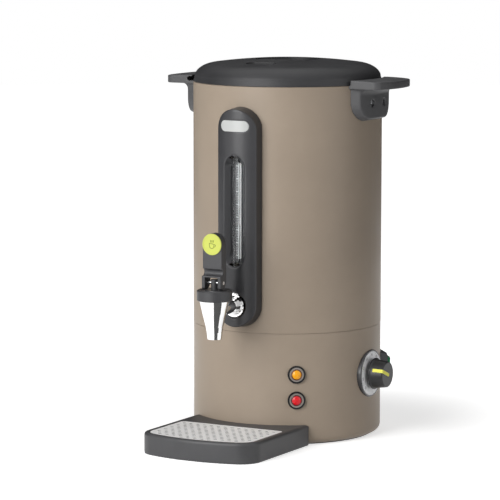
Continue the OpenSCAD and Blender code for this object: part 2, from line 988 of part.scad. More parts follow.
// The fitting on the shank that carries the sight tube; its front flange is the rosette
module gauge_tee() {
    color(chrome)
        difference() {
            union() {
                translate([0, 0, shank_z])
                    rod_front(tee_r, tee_back_y, tee_front_y);
                translate([0, 0, shank_z])
                    rod_front(rosette_d / 2, tee_front_y, tee_front_y + rosette_t);
                translate([0, -tube_y, shank_z])
                    cylinder(r = tube_boss_r, h = tube_boss_h);
            }
            translate([0, 0, shank_z])
                rod_front(shank_d / 2 + 0.03, body_r - 5, panel_crown_y + 10);
            translate([0, -tube_y, tube_low_z - 1.5])
                cylinder(r = tube_d / 2 + fit, h = 30);
            translate([0, -tube_y, shank_z])
                cylinder(r = 2.5, h = 20);
            // dished face of the rosette
            translate([0, -(tee_front_y + rosette_t) - 0.01, shank_z])
                rotate([-90, 0, 0])
                    cylinder(r1 = rosette_d / 2 - 1.6, r2 = shank_d / 2, h = 2.4);
        }
}

// ---- Tap ----

module tap_body() {
    cone_low_z = spout_tip_z + 14;
    throat_r = outlet_d / 2 - 1.6;
    color(chrome)
        difference() {
            union() {
                translate([0, -tap_y, 0])
                    rotate_extrude()
                        polygon([
                            [0, spout_tip_z], [outlet_d / 2, spout_tip_z],
                            [outlet_d / 2 + 0.9, spout_tip_z + 8], [outlet_d / 2 + 1.9, cone_low_z],
                            [cone_d / 2 - 3.4, collar_z - 15], [cone_d / 2, collar_z], [neck_r, collar_z],
                            [neck_r, collar_z + neck_h], [0, collar_z + neck_h]
                        ]);
                translate([0, 0, shank_z])
                    rod_front(shank_d / 2, inner_r - shank_in, tap_y - chamber_r + 1);
            }
            // valve chamber and seat
            translate([0, -tap_y, seat_z])
                cylinder(r = chamber_r, h = collar_z + neck_h + 1 - seat_z);
            translate([0, -tap_y, spout_tip_z - 1])
                cylinder(r = throat_r, h = seat_z - spout_tip_z + 2);
            // water way through the shank, with a branch up to the sight tube
            translate([0, 0, shank_z])
                rod_front(shank_d / 2 - 3, inner_r - shank_in - 1, tap_y - chamber_r + 2);
            translate([0, -tube_y, shank_z])
                cylinder(r = 2, h = 12);
        }
}

module tap_bonnet() {
    dish_deep = 1.6;
    rim_r = collar_d / 2;
    low = collar_z + fit;
    roof = collar_z + neck_h + fit;
    color(black)
        difference() {
            translate([0, -tap_y, 0])
                rotate_extrude()
                    polygon([
                        [0, roof], [neck_r + 0.1, roof], [neck_r + 0.1, low], [rim_r - 0.8, low],
                        [rim_r, low + 0.8], [rim_r, collar_top_z - 1.2], [rim_r - 1.2, collar_top_z],
                        [rim_r - 2.6, collar_top_z], [rim_r - 5, collar_top_z - dish_deep],
                        [11.5, collar_top_z - dish_deep], [10.8, collar_top_z], [0, collar_top_z]
                    ]);
            translate([0, -tap_y, collar_z])
                cylinder(r = stem_hole_r, h = collar_h + 5);
        }
}

module shank_seals() {
    washer_r = shank_d / 2 + 5;
    color(white)
        difference() {
            translate([0, 0, shank_z])
                union() {
                    rod_front(washer_r, inner_r - washer_t, inner_r + 0.1);
                    rod_front(washer_r - 1, inner_r + 0.2, tee_back_y - fit);
                }
            // the tank's wall runs between the two washers
            translate([0, 0, shank_z - 20])
                ring(body_r + fit, inner_r - fit, 40);
            translate([0, 0, shank_z])
                rod_front(shank_d / 2 + fit, inner_r - 10, body_r + 10);
        }
}

module shank_nut() {
    nut_t = 6;
    face_y = inner_r - washer_t - fit;
    color(steel)
        difference() {
            translate([0, -face_y, shank_z])
                rotate([-90, 0, 0])
                    cylinder(d = shank_d * 1.6, h = nut_t, $fn = 6);
            translate([0, 0, shank_z])
                rod_front(shank_d / 2 + 0.02, inner_r - 20, body_r);
        }
}

module tap_stem() {
    foot_z = seat_z + 4;
    flange_z = seat_z + 7;
    color(black)
        difference() {
            union() {
                translate([0, -tap_y, foot_z])
                    cylinder(r = stem_d / 2, h = stem_top_z - foot_z);
                translate([0, -tap_y, flange_z])
                    cylinder(r = chamber_r - 3.4, h = 2);
            }
            translate([-20, -tap_y, pin_z])
                rod_x(pin_d / 2 + 0.02, 40);
        }
}

module seat_cup() {
    cup_h = 6.95;
    color(white)
        difference() {
            translate([0, -tap_y, seat_z])
                rotate_extrude()
                    polygon([
                        [0, 0.1], [outlet_d / 2 - 0.6, 0.1], [chamber_r - 1, 2.6],
                        [chamber_r - 1.6, cup_h], [0, cup_h]
                    ]);
            translate([0, -tap_y, seat_z + 4])
                cylinder(r = stem_d / 2 + 0.02, h = 10);
        }
}

module tap_spring() {
    low = seat_z + 9 + fit;
    color(steel)
        translate([0, -tap_y, low])
            ring(stem_d / 2 + 2.6, stem_d / 2 + 0.6, collar_z + neck_h - low);
}

module lever_pin() {
    color(steel)
        translate([-lever_w / 2 + 0.4, -tap_y, pin_z])
            rod_x(pin_d / 2, lever_w - 0.8);
}

module tap_lever() {
    front = tap_y + lever_t / 2;
    axis_y = tap_y + cam_off;
    toe_y = axis_y + cam_r * sin(lever_tilt);
    scallop_r = 4;
    scallop_z = fork_roof_z + scallop_r + 1.8;
    round_z = pin_z + lever_h - lever_top_r;
    color(black)
        difference() {
            union() {
                // grip with a rounded top
                translate([0, -tap_y + lever_t / 2, 0])
                    rotate([90, 0, 0])
                        linear_extrude(lever_t)
                            union() {
                                translate([-lever_w / 2, pin_z])
                                    square([lever_w, lever_h - lever_top_r]);
                                translate([0, round_z])
                                    circle(r = lever_top_r);
                            }
                // cam that rolls on the collar, flat in front of its working part
                difference() {
                    translate([-lever_w / 2, -axis_y, pin_z])
                        rod_x(cam_r, lever_w);
                    translate([-lever_w, -toe_y - 20, pin_z - 20])
                        cube([2 * lever_w, 20, 40]);
                }
                translate([-lever_w / 2, -toe_y, pin_z])
                    cube([lever_w, toe_y - tap_y, scallop_z - pin_z]);
            }
            // fork for the stem
            translate([-fork_gap_w / 2, -front - 20, pin_z - 20])
                cube([fork_gap_w, lever_t + 40, fork_roof_z - pin_z + 20]);
            // bore of the pin
            translate([-lever_w, -tap_y, pin_z])
                rod_x(pin_d / 2 + run_fit, 2 * lever_w);
            // scallop under the grip's face
            translate([-lever_w, -front - 0.8, scallop_z])
                rod_x(scallop_r, 2 * lever_w);
            // seat of the badge
            translate([0, 0, round_z])
                rod_front(badge_d / 2 + 0.1, front - badge_sunk - fit, front + 5);
        }
}

module lever_badge() {
    seat_y = tap_y + lever_t / 2 - badge_sunk;
    color(lime)
        difference() {
            translate([0, 0, pin_z + lever_h - lever_top_r])
                rod_front(badge_d / 2, seat_y, seat_y + badge_t + 0.3);
            translate([0, 0, pin_z + lever_h - lever_top_r])
                rod_front(badge_d / 2 - 1.2, seat_y + badge_t, seat_y + 5);
        }
}

// ---- Lights ----

module at_lights() {
    for (z = [amber_z, red_z])
        on_wall(light_angle, z)
            children();
}

module light_bezels() {
    color(black)
        at_lights()
            difference() {
                union() {
                    difference() {
                        translate([body_r - 6, 0, 0])
                            rod_x(ring_d / 2, light_stand + 6);
                        wall_solid(skirt_r + fit, -ring_d, ring_d);
                    }
                    translate([body_r - light_depth, 0, 0])
                        rod_x(light_body_d / 2, light_depth + 1);
                }
                translate([body_r - light_depth + 1.5, 0, 0])
                    rod_x(light_body_d / 2 - 1.2, light_depth + 10);
                translate([light_face, 0, 0])
                    rod_x(ring_d / 2 - 2, 10);
            }
}

module light_reflectors() {
    color(chrome)
        at_lights()
            difference() {
                union() {
                    translate([light_face, 0, 0])
                        rod_x(ring_d / 2 - 2 - fit, 1.5);
                    translate([light_face - 8, 0, 0])
                        rod_x(light_body_d / 2 - 1.25, 8.5);
                }
                translate([light_face - 9, 0, 0])
                    rod_x(lens_d / 2 - 1.4, 20);
                translate([light_face + 0.5, 0, 0])
                    rod_x(lens_d / 2 + fit, 20);
            }
}

module indicator_lens() {
    seat = light_face + 0.5;
    rim_t = 1;
    dome_r = 8.5;
    dome_y = rim_t - sqrt(dome_r * dome_r - lens_d * lens_d / 4);
    translate([seat, 0, 0])
        rotate([0, 90, 0])
            rotate_extrude()
                intersection() {
                    translate([0, dome_y])
                        circle(r = dome_r);
                    square([lens_d / 2, 10]);
                }
}

module amber_lens() {
    color(amber)
        on_wall(light_angle, amber_z)
            indicator_lens();
}

module red_lens() {
    color(red)
        on_wall(light_angle, red_z)
            indicator_lens();
}

module neon_lamps() {
    color([0.9, 0.85, 0.8, 0.6])
        at_lights()
            translate([body_r - light_depth + 1.5, 0, 0])
                rod_x(2.6, light_depth - 6);
}

module light_clips() {
    clip_t = 2;
    clip_r = light_body_d / 2 + 2.6;
    face_x = sqrt(pow(skirt_in_r - fit, 2) - clip_r * clip_r);
    color(steel)
        at_lights()
            difference() {
                translate([face_x - clip_t, 0, 0])
                    rod_x(clip_r, clip_t);
                translate([face_x - 2 * clip_t, 0, 0])
                    rod_x(light_body_d / 2 + 0.03, 3 * clip_t);
            }
}

// ---- Knob and thermostat ----

module dial_bezel() {
    deep = 8;
    rim = dial_d / 2;
    color(black)
        difference() {
            on_wall(90, knob_z)
                translate([body_r - deep, 0, 0])
                    rotate([0, 90, 0])
                        rotate_extrude()
                            polygon([
                                [0, 0], [rim, 0], [rim, deep + dial_stand - 0.8],
                                [rim - 0.8, deep + dial_stand], [0, deep + dial_stand]
                            ]);
            wall_solid(skirt_r + fit, knob_z - dial_d, knob_z + dial_d);
            on_wall(90, knob_z)
                translate([dial_face_x - dial_ring_t - fit, 0, 0])
                    rod_x(dial_ring_d / 2 + fit, 10);
            on_wall(90, knob_z)
                rod_x(bushing_d / 2 + 0.1, 2 * body_r);
        }
}

module dial_ring() {
    color(white)
        on_wall(90, knob_z)
            translate([dial_face_x - dial_ring_t, 0, 0])
                difference() {
                    rod_x(dial_ring_d / 2, dial_ring_t);
                    translate([-1, 0, 0])
                        rod_x(dial_hole_r, dial_ring_t + 2);
                }
}

// The knob's half outline: x is the radius, y the distance from its back
module knob_profile() {
    foot = knob_d / 2;
    waist = knob_face_d / 2 + 1.6;
    face = knob_face_d / 2;
    // hub that keeps the skirt off the dial
    hub = dial_hole_r + 1.9;
    hub_h = 3.4;
    flare_h = 3;
    steps = 6;
    low = hub_h + 1.2;
    flare = [for (k = [1:steps])
        [foot - (foot - waist) * sin(90 * k / steps), low + flare_h * (1 - cos(90 * k / steps))]];
    polygon(concat([[0, 0], [hub, 0], [hub, hub_h], [foot - 0.6, hub_h], [foot, low - 0.6], [foot, low]],
        flare,
        [[face, knob_len - 1.2], [face - 0.35, knob_len - 0.35], [face - 1.2, knob_len], [0, knob_len]]));
}

module knob() {
    color(black)
        on_wall(90, knob_z)
            difference() {
                translate([knob_x, 0, 0])
                    rotate([0, 90, 0])
                        rotate_extrude()
                            knob_profile();
                // room for the bushing's nut
                translate([knob_x - 1, 0, 0])
                    rod_x(dial_hole_r + 0.4, 4.2);
                translate([knob_x - 1, 0, 0])
                    rod_x(spindle_d / 2 + 0.02, knob_len - 4);
            }
}

// The pointer: over the knob's side and face, from its edge to the middle
module knob_pointer() {
    proud = 0.5;
    side_low = 8.6;
    foot = knob_face_d / 2 + 1.4;
    face = knob_face_d / 2;
    color(lime)
        on_wall(90, knob_z)
            translate([knob_x, 0, 0])
                rotate([pointer_angle, 0, 0])
                    difference() {
                        union() {
                            translate([knob_len - 0.6, -pointer_w / 2, -1])
                                cube([0.6 + proud, pointer_w, face + 1]);
                            translate([knob_len - 0.6, 0, -1])
                                rod_x(pointer_w / 2, 0.6 + proud);
                            hull() {
                                translate([side_low, -pointer_w / 2, foot - 1.6])
                                    cube([0.5, pointer_w, 1.6 + proud]);
                                translate([knob_len + proud - 1.5, -pointer_w / 2, face - 1.6])
                                    cube([1.5, pointer_w, 1.6 + proud]);
                            }
                        }
                        rotate([0, 90, 0])
                            rotate_extrude()
                                knob_profile();
                    }
}

module thermostat_spindle() {
    color(steel)
        on_wall(90, knob_z)
            translate([stat_x + 2, 0, 0])
                rod_x(spindle_d / 2, knob_x + knob_len - 6 - stat_x - 2);
}

module thermostat() {
    color(steel)
        on_wall(90, knob_z)
            difference() {
                union() {
                    translate([stat_x - stat_deep, -stat_box / 2, -stat_box / 2])
                        cube([stat_deep, stat_box, stat_box]);
                    difference() {
                        translate([stat_x - 0.5, 0, 0])
                            rod_x(bushing_d / 2 + 4, skirt_r - stat_x);
                        outside(skirt_in_r - fit, -stat_box, stat_box);
                    }
                    translate([stat_x - 0.5, 0, 0])
                        rod_x(bushing_d / 2, dial_face_x + 1.8 - stat_x + 0.5);
                }
                translate([stat_x - 1, 0, 0])
                    rod_x(spindle_d / 2 + run_fit, knob_x + knob_len - stat_x);
            }
}

module spindle_nut() {
    color(steel)
        on_wall(90, knob_z)
            translate([dial_face_x - dial_ring_t + fit, 0, 0])
                rotate([0, 90, 0])
                    difference() {
                        cylinder(d = 2 * dial_hole_r - 1.4, h = bushing_nut_h, $fn = 6);
                        translate([0, 0, -eps])
                            cylinder(r = bushing_d / 2 + 0.02, h = bushing_nut_h + 2 * eps);
                    }
}

// Bulb under the heat plate with its capillary down to the thermostat
module sensor_bulb() {
    bulb_z = heat_plate_z - bulb_r - fit;
    bulb_x0 = -8;
    bulb_x1 = 30;
    drop_x = bulb_x1 + 4 + capillary_bend;
    end_z = knob_z + 8;
    color(steel)
        translate([0, bulb_y, 0])
            union() {
                translate([bulb_x0, 0, bulb_z])
                    rod_x(bulb_r, bulb_x1 - bulb_x0);
                translate([bulb_x1 - 1, 0, bulb_z])
                    rod_x(capillary_r, drop_x - capillary_bend - bulb_x1 + 1);
                translate([drop_x - capillary_bend, 0, bulb_z - capillary_bend])
                    rotate([90, 0, 0])
                        rotate_extrude(angle = 90)
                            translate([capillary_bend, 0])
                                circle(r = capillary_r, $fn = 24);
                translate([drop_x, 0, end_z + capillary_bend])
                    cylinder(r = capillary_r, h = bulb_z - end_z - 2 * capillary_bend);
                translate([drop_x + capillary_bend, 0, end_z + capillary_bend])
                    rotate([90, 0, 0])
                        rotate([0, 0, 180])
                            rotate_extrude(angle = 90)
                                translate([capillary_bend, 0])
                                    circle(r = capillary_r, $fn = 24);
                translate([drop_x + capillary_bend, 0, end_z])
                    rod_x(capillary_r, stat_x - stat_deep - drop_x - capillary_bend - 0.02);
            }
}

// ---- Switch ----

module switch_housing() {
    half_w = switch_w / 2;
    half_h = switch_h / 2;
    low_x = body_r - 6;
    high_x = switch_front;
    color(black)
        on_wall(switch_angle, knob_z)
            difference() {
                union() {
                    difference() {
                        hull() {
                            translate([low_x, -half_w, -half_h])
                                cube([5, 2 * half_w, 2 * half_h]);
                            translate([high_x - 1, -half_w + switch_slope, -half_h + switch_fall])
                                cube([1, 2 * (half_w - switch_slope), 2 * (half_h - switch_fall)]);
                        }
                        wall_solid(skirt_r + fit, -switch_h, switch_h);
                    }
                    translate([body_r - switch_deep, -switch_box_w / 2, -switch_box_h / 2])
                        cube([switch_deep + 2, switch_box_w, switch_box_h]);
                }
                translate([body_r - switch_deep + 6, -window_w / 2, -window_h / 2])
                    cube([switch_deep + 20, window_w, window_h]);
                translate([key_pivot, key_w / 2 + trunnion_len + 0.2, 0])
                    rotate([90, 0, 0])
                        cylinder(r = trunnion_r + run_fit, h = key_w + 2 * trunnion_len + 0.4);
            }
}

module switch_key() {
    deep = 5;
    half = key_w / 2;
    dish_half = key_r * 0.75;
    end_x = sqrt(key_r * key_r - dish_half * dish_half);
    color([0.30, 0.62, 0.25])
        on_wall(switch_angle, knob_z)
            translate([key_pivot, 0, 0])
                rotate([0, -key_tilt, 0])
                    union() {
                        intersection() {
                            translate([0, half, 0])
                                rotate([90, 0, 0])
                                    cylinder(r = key_r, h = key_w);
                            translate([0, half, 0])
                                rotate([90, 0, 0])
                                    linear_extrude(key_w)
                                        polygon([
                                            [-deep, -key_r], [end_x + 1.5, -key_r], [key_front, 0],
                                            [end_x + 1.5, key_r], [-deep, key_r]
                                        ]);
                        }
                        translate([0, half + trunnion_len, 0])
                            rotate([90, 0, 0])
                                cylinder(r = trunnion_r, h = key_w + 2 * trunnion_len);
                    }
}

// ---- Mains inlet ----

module cable_gland() {
    color(black)
        on_wall(180, gland_z)
            difference() {
                union() {
                    difference() {
                        union() {
                            translate([body_r - 4, 0, 0])
                                rotate([0, 90, 0])
                                    cylinder(d = gland_hex_d, h = 9, $fn = 6);
                            translate([body_r, 0, 0])
                                rotate([0, 90, 0])
                                    rotate_extrude()
                                        polygon([
                                            [0, 0], [8, 0], [8, gland_out - 4],
                                            [6.6, gland_out - 1], [5.2, gland_out], [0, gland_out]
                                        ]);
                        }
                        wall_solid(skirt_r + fit, -gland_hex_d, gland_hex_d);
                    }
                    translate([body_r - gland_in, 0, 0])
                        rod_x(gland_barrel_r, gland_in + 2);
                }
                translate([body_r - gland_in - 1, 0, 0])
                    rod_x(gland_bore_d / 2, gland_in + gland_out + 2);
            }
}

module gland_nut() {
    nut_t = 5;
    nut_r = gland_hex_d / 2 - 0.5;
    face_x = sqrt(pow(skirt_in_r - fit, 2) - nut_r * nut_r);
    color(black)
        on_wall(180, gland_z)
            difference() {
                translate([face_x - nut_t, 0, 0])
                    rotate([0, 90, 0])
                        cylinder(r = nut_r, h = nut_t, $fn = 6);
                translate([body_r - 30, 0, 0])
                    rod_x(gland_barrel_r + 0.02, 40);
            }
}

// ---- Heating ----

module element_plate() {
    stud_len = element_d + clamp_t + clamp_nut_h + 3;
    color(steel)
        union() {
            translate([0, 0, heat_plate_z])
                cylinder(r = heat_plate_r, h = heat_plate_t - 0.02);
            translate([0, 0, heat_plate_z - stud_len])
                cylinder(d = clamp_stud_d, h = stud_len + 1);
        }
}

module heating_element() {
    end_deg = element_gap_deg / 2;
    leg_len = 16;
    color([0.35, 0.32, 0.30])
        translate([0, 0, element_z])
            union() {
                rotate([0, 0, 90 + end_deg])
                    rotate_extrude(angle = 360 - element_gap_deg)
                        translate([element_ring_r, 0])
                            circle(d = element_d);
                for (side = [-1, 1])
                    rotate([0, 0, 90 + side * (end_deg + 4)])
                        translate([element_ring_r, 0, 0]) {
                            translate([0, 0, -leg_len])
                                cylinder(d = element_d - 2, h = leg_len);
                            translate([0, 0, -leg_len - 9])
                                cylinder(d = element_d / 3, h = 10);
                        }
            }
}

module element_clamp() {
    half = element_ring_r + element_d;
    color(steel)
        translate([0, 0, clamp_z])
            difference() {
                translate([-half, -clamp_w / 2, 0])
                    cube([2 * half, clamp_w, clamp_t]);
                translate([0, 0, -eps])
                    cylinder(d = clamp_stud_d + 0.4, h = clamp_t + 2 * eps);
            }
}

module clamp_nut() {
    color(steel)
        translate([0, 0, clamp_z - clamp_nut_h - fit])
            difference() {
                cylinder(d = 11.5, h = clamp_nut_h, $fn = 6);
                translate([0, 0, -eps])
                    cylinder(d = clamp_stud_d + 0.04, h = clamp_nut_h + 2 * eps);
            }
}

module thermal_cutout() {
    cutout_y = 29;
    cutout_r = 11;
    cutout_h = 9;
    rim_w = 2;
    rim_t = 1.5;
    tab_w = 6.3;
    tab_t = 0.8;
    tab_gap = 10;
    tab_len = 10;
    top = heat_plate_z - fit;
    color([0.82, 0.80, 0.74])
        translate([0, cutout_y, 0])
            union() {
                translate([0, 0, top - cutout_h])
                    cylinder(r = cutout_r, h = cutout_h);
                translate([0, 0, top - rim_t])
                    cylinder(r = cutout_r + rim_w, h = rim_t);
                for (side = [-1, 1])
                    translate([side * tab_gap / 2 - tab_t / 2, -tab_w / 2, top - 2 * cutout_h])
                        cube([tab_t, tab_w, tab_len]);
            }
}

module terminal_block() {
    low = plate_z + plate_t;
    block_w = 48;
    block_deep = 18;
    block_h = 14;
    pole_pitch = block_w / 3 - 2;
    screw_d = 7;
    screw_deep = 8;
    wire_d = 4.5;
    wire_z = 5;
    color(white)
        translate([-body_r * 0.273, body_r * 0.418, low])
            difference() {
                translate([-block_w / 2, -block_deep / 2, 0])
                    cube([block_w, block_deep, block_h]);
                for (k = [-1:1]) {
                    translate([k * pole_pitch, 0, block_h - screw_deep])
                        cylinder(d = screw_d, h = screw_deep + 2);
                    translate([k * pole_pitch, -block_deep / 2 - 1, wire_z])
                        rotate([-90, 0, 0])
                            cylinder(d = wire_d, h = block_deep + 2);
                }
            }
}

// ---- Drip tray ----

// The tray's outline, its edge moved inwards by a distance, from z = 0 up to a height
module tray_prism(inset, h) {
    rotate([0, 0, -90])
        linear_extrude(h)
            bow_outline(tray_w / 2 - inset, tray_front_y - inset, tray_arc_r - inset,
                tray_corner_r - inset, body_r * 0.6);
}

// The grid plate's outline as a prism: the tray's bow in front, straight with rounded corners behind
module grid_prism(inset, h) {
    half = tray_w / 2 - tray_rim - inset;
    back = body_r + grid_back + inset;
    r = grid_corner_r - inset * 0.5;
    difference() {
        tray_prism(tray_rim + inset, h);
        translate([-tray_w, -back, -1])
            cube([2 * tray_w, body_r + back, h + 2]);
        for (side = [-1, 1])
            difference() {
                translate([side * (half - r / 2 + 0.5) - r / 2 - 0.5, -back - r, -1])
                    cube([r + 1, r + 1, h + 2]);
                translate([side * (half - r), -back - r, -2])
                    cylinder(r = r, h = h + 4);
            }
    }
}

module drip_tray() {
    grid_low = grid_top_z - grid_t - fit;
    color(charcoal)
        difference() {
            // block with a rounded upper edge
            hull()
                for (deg = [0:22.5:90])
                    tray_prism(tray_edge_r * (1 - cos(deg)), tray_h - tray_edge_r + tray_edge_r * sin(deg),
                        $fn = 120);
            // back edge that follows the skirt
            translate([0, 0, -1])
                cylinder(r = body_r + tray_gap, h = tray_h + 2);
            // recess for the grid
            translate([0, 0, grid_low])
                grid_prism(0, tray_h);
            // basin
            translate([0, 0, tray_floor])
                grid_prism(tray_ledge, tray_h);
            // hollow under the rim
            difference() {
                translate([0, 0, -1])
                    tray_prism(tray_wall, tray_h - tray_wall - 1);
                translate([0, 0, -1])
                    cylinder(r = body_r + tray_gap + tray_wall, h = 2 * tray_h);
                translate([0, 0, -2])
                    grid_prism(tray_ledge - tray_wall, tray_h + 4);
            }
        }
}

// Whether a slot centred at x, y (y towards the front) lies well inside the grid
function slot_fits(x, y) =
    let (
        in = tray_rim + grid_margin,
        half = tray_w / 2,
        ex = abs(x) + grid_slot_len / 2,
        bow_y = tray_front_y - tray_arc_r,
        corner_y = bow_y + sqrt(pow(tray_arc_r - tray_corner_r, 2) - pow(half - tray_corner_r, 2)),
        corner_x = half - tray_corner_r
    )
    ex < half - in
    && norm([ex, y + grid_slot_w / 2 - bow_y]) < tray_arc_r - in
    && y - grid_slot_w / 2 > body_r + grid_back + grid_margin
    && (y < corner_y || ex < corner_x || norm([ex - corner_x, y - corner_y]) < tray_corner_r - in);

module drip_grid() {
    rows = floor((tray_reach - tray_rim - grid_back) / slot_pitch_y);
    columns = ceil(tray_w / slot_pitch_x / 2);
    tip = grid_slot_w / 2;
    flat = grid_slot_len / 2 - tip * 0.6;
    color(steel)
        difference() {
            translate([0, 0, grid_top_z - grid_t])
                grid_prism(grid_gap, grid_t);
            translate([0, 0, grid_top_z - 2 * grid_t])
                linear_extrude(3 * grid_t)
                    for (row = [0:rows], column = [-columns:columns]) {
                        x = (column + (row % 2) / 2) * slot_pitch_x;
                        y = tray_front_y - tray_rim - grid_margin - 3 - row * slot_pitch_y;
                        if (slot_fits(x, y))
                            translate([x, -y])
                                polygon([
                                    [-flat, -tip], [flat, -tip], [grid_slot_len / 2, -tip * 0.4],
                                    [grid_slot_len / 2, tip * 0.4], [flat, tip], [-flat, tip],
                                    [-grid_slot_len / 2, tip * 0.4], [-grid_slot_len / 2, -tip * 0.4]
                                ]);
                    }
        }
}

// ---- What is drawn ----

tank();
tank_floor();
base_skirt();
base_plate();
foot_ring();
tie_rods();
tie_nuts();
lid();
lid_seal();
handle_left();
handle_right();
handle_screws();
handle_nuts();
gauge_panel();
name_plate();
sight_tube();
gauge_scale();
tube_seal();
tube_cap();
gauge_tee();
tap_body();
tap_bonnet();
shank_seals();
shank_nut();
tap_stem();
seat_cup();
tap_spring();
lever_pin();
tap_lever();
lever_badge();
light_bezels();
light_reflectors();
amber_lens();
red_lens();
neon_lamps();
light_clips();
dial_bezel();
dial_ring();
knob();
knob_pointer();
thermostat_spindle();
thermostat();
spindle_nut();
sensor_bulb();
switch_housing();
switch_key();
cable_gland();
gland_nut();
heating_element();
element_plate();
element_clamp();
clamp_nut();
thermal_cutout();
terminal_block();
drip_tray();
drip_grid();
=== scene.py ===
"""Hot water urn: finishes, moulded edges, dial, gauge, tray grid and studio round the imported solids."""

import json
import math

import bmesh
import bpy
from bpy.props import FloatProperty, FloatVectorProperty, IntProperty, PointerProperty
from mathutils import Matrix, Vector

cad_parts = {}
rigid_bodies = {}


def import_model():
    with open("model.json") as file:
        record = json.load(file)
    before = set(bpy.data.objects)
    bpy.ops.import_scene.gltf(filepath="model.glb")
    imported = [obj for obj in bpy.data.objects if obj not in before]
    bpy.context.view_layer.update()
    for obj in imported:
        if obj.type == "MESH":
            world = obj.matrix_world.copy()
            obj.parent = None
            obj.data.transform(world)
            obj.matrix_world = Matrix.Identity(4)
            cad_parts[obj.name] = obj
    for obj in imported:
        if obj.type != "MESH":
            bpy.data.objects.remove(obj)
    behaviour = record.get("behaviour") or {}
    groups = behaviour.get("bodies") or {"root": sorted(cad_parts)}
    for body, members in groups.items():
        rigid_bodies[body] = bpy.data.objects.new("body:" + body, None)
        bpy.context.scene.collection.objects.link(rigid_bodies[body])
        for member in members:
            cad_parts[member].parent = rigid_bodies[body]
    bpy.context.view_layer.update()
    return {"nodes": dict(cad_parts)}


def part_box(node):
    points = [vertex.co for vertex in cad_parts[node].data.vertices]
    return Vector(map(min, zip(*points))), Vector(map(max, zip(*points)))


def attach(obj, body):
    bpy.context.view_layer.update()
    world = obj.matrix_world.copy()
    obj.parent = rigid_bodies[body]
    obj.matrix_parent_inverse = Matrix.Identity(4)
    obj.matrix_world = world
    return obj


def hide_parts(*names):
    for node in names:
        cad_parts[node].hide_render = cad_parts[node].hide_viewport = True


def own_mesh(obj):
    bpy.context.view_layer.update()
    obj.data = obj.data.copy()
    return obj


for leftover in list(bpy.data.objects):
    bpy.data.objects.remove(leftover)
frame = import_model()
NODES = frame["nodes"]

bl_info = {
    "name": "Hot water urn",
    "version": (1, 0, 0),
    "blender": (4, 5, 0),
    "location": "View3D > Sidebar > Urn",
    "description": "Dresses the urn's solids with finishes, moulded edges, dial, gauge and tray grid",
    "category": "Object",
}

MM = 0.001
BODY_RADIUS = 0.110  # of tank and base, outside
LIGHT_ANGLE = math.radians(34)  # of the two indicator lights, from the front towards the knob
MARK_STEP = 0.0146  # between two coarse marks of the gauge
MARK_SIDE = -0.0013  # of the marks' middle from the gauge's middle
MARK_THICK = 0.0002
LOWEST_MARK = 0.2189  # height of the lowest mark


# ---- Sizes and colours a user would change ----

def colour_prop(name, description, default):
    return FloatVectorProperty(name=name, description=description, subtype="COLOR", size=3,
                               min=0, max=1, default=default)


def length_prop(name, description, default, low=0.0, high=1.0):
    return FloatProperty(name=name, description=description, unit="LENGTH", precision=5,
                         min=low, max=high, default=default)


class UrnColours(bpy.types.PropertyGroup):
    """Colours of the urn's paint and plastics, in linear light"""
    paint: colour_prop("Paint", "Satin paint of the tank and the base", (0.350, 0.285, 0.222))
    moulding: colour_prop("Moulding", "Charcoal plastic of lid, handles and tray", (0.060, 0.060, 0.063))
    panel: colour_prop("Panel", "Charcoal plastic of the gauge panel", (0.035, 0.035, 0.038))
    dark: colour_prop("Dark parts", "Black plastic of lever, collar and knob", (0.042, 0.042, 0.045))
    lime: colour_prop("Lime", "Badge on the lever and pointer on the knob", (0.58, 0.63, 0.10))
    amber: colour_prop("Amber", "Upper indicator lens", (0.95, 0.42, 0.008))
    red: colour_prop("Red", "Lower indicator lens", (0.80, 0.006, 0.015))
    green: colour_prop("Green", "Key of the rocker switch", (0.010, 0.22, 0.075))


class UrnMouldings(bpy.types.PropertyGroup):
    """Softness of the moulded pieces"""
    handle_grain: length_prop("Handle detail", "Mesh cell of the handles", 0.00075)
    handle_rounding: IntProperty(name="Handle rounding", description="Smoothing passes on the handles' edges",
                                 default=9, min=0, max=40)
    handle_crown: length_prop("Grip crown", "Fall of the grip's upper face towards its edge", 0.0016)
    tray_grain: length_prop("Tray detail", "Mesh cell of the drip tray", 0.0010)
    tray_rounding: IntProperty(name="Tray rounding", description="Smoothing passes on the tray's edges",
                               default=5, min=0, max=40)
    panel_grain: length_prop("Panel detail", "Mesh cell of the gauge panel", 0.00075)
    panel_rounding: IntProperty(name="Panel rounding", description="Smoothing passes on the panel's edges",
                                default=5, min=0, max=40)
    lever_grain: length_prop("Lever detail", "Mesh cell of the tap's lever", 0.0004)
    lever_rounding: IntProperty(name="Lever rounding", description="Smoothing passes on the lever's edges",
                                default=8, min=0, max=40)


class UrnDial(bpy.types.PropertyGroup):
    """Figures and lines on the dial"""
    figures: IntProperty(name="Figures", description="How many figures stand on the dial", default=9,
                         min=2, max=12)
    first_figure: IntProperty(name="First figure", description="Lowest figure", default=30)
    figure_step: IntProperty(name="Step", description="Difference between two figures", default=10)
    figure_height: length_prop("Figure height", "Height of a figure", 0.0030)
    figure_radius: length_prop("Figure radius", "Distance of the figures from the dial's axis", 0.0215)
    line_count: IntProperty(name="Lines", description="How many fine lines the dial has", default=41,
                            min=2, max=101)
    line_radius: length_prop("Line radius", "Distance of the lines from the dial's axis", 0.0244)
    line_length: length_prop("Line length", "Length of a fine line", 0.0011)
    line_width: length_prop("Line width", "Width of a fine line", 0.00028)
    sweep: FloatProperty(name="Sweep", description="Angle from the first figure to the last", subtype="ANGLE",
                         default=math.radians(270))


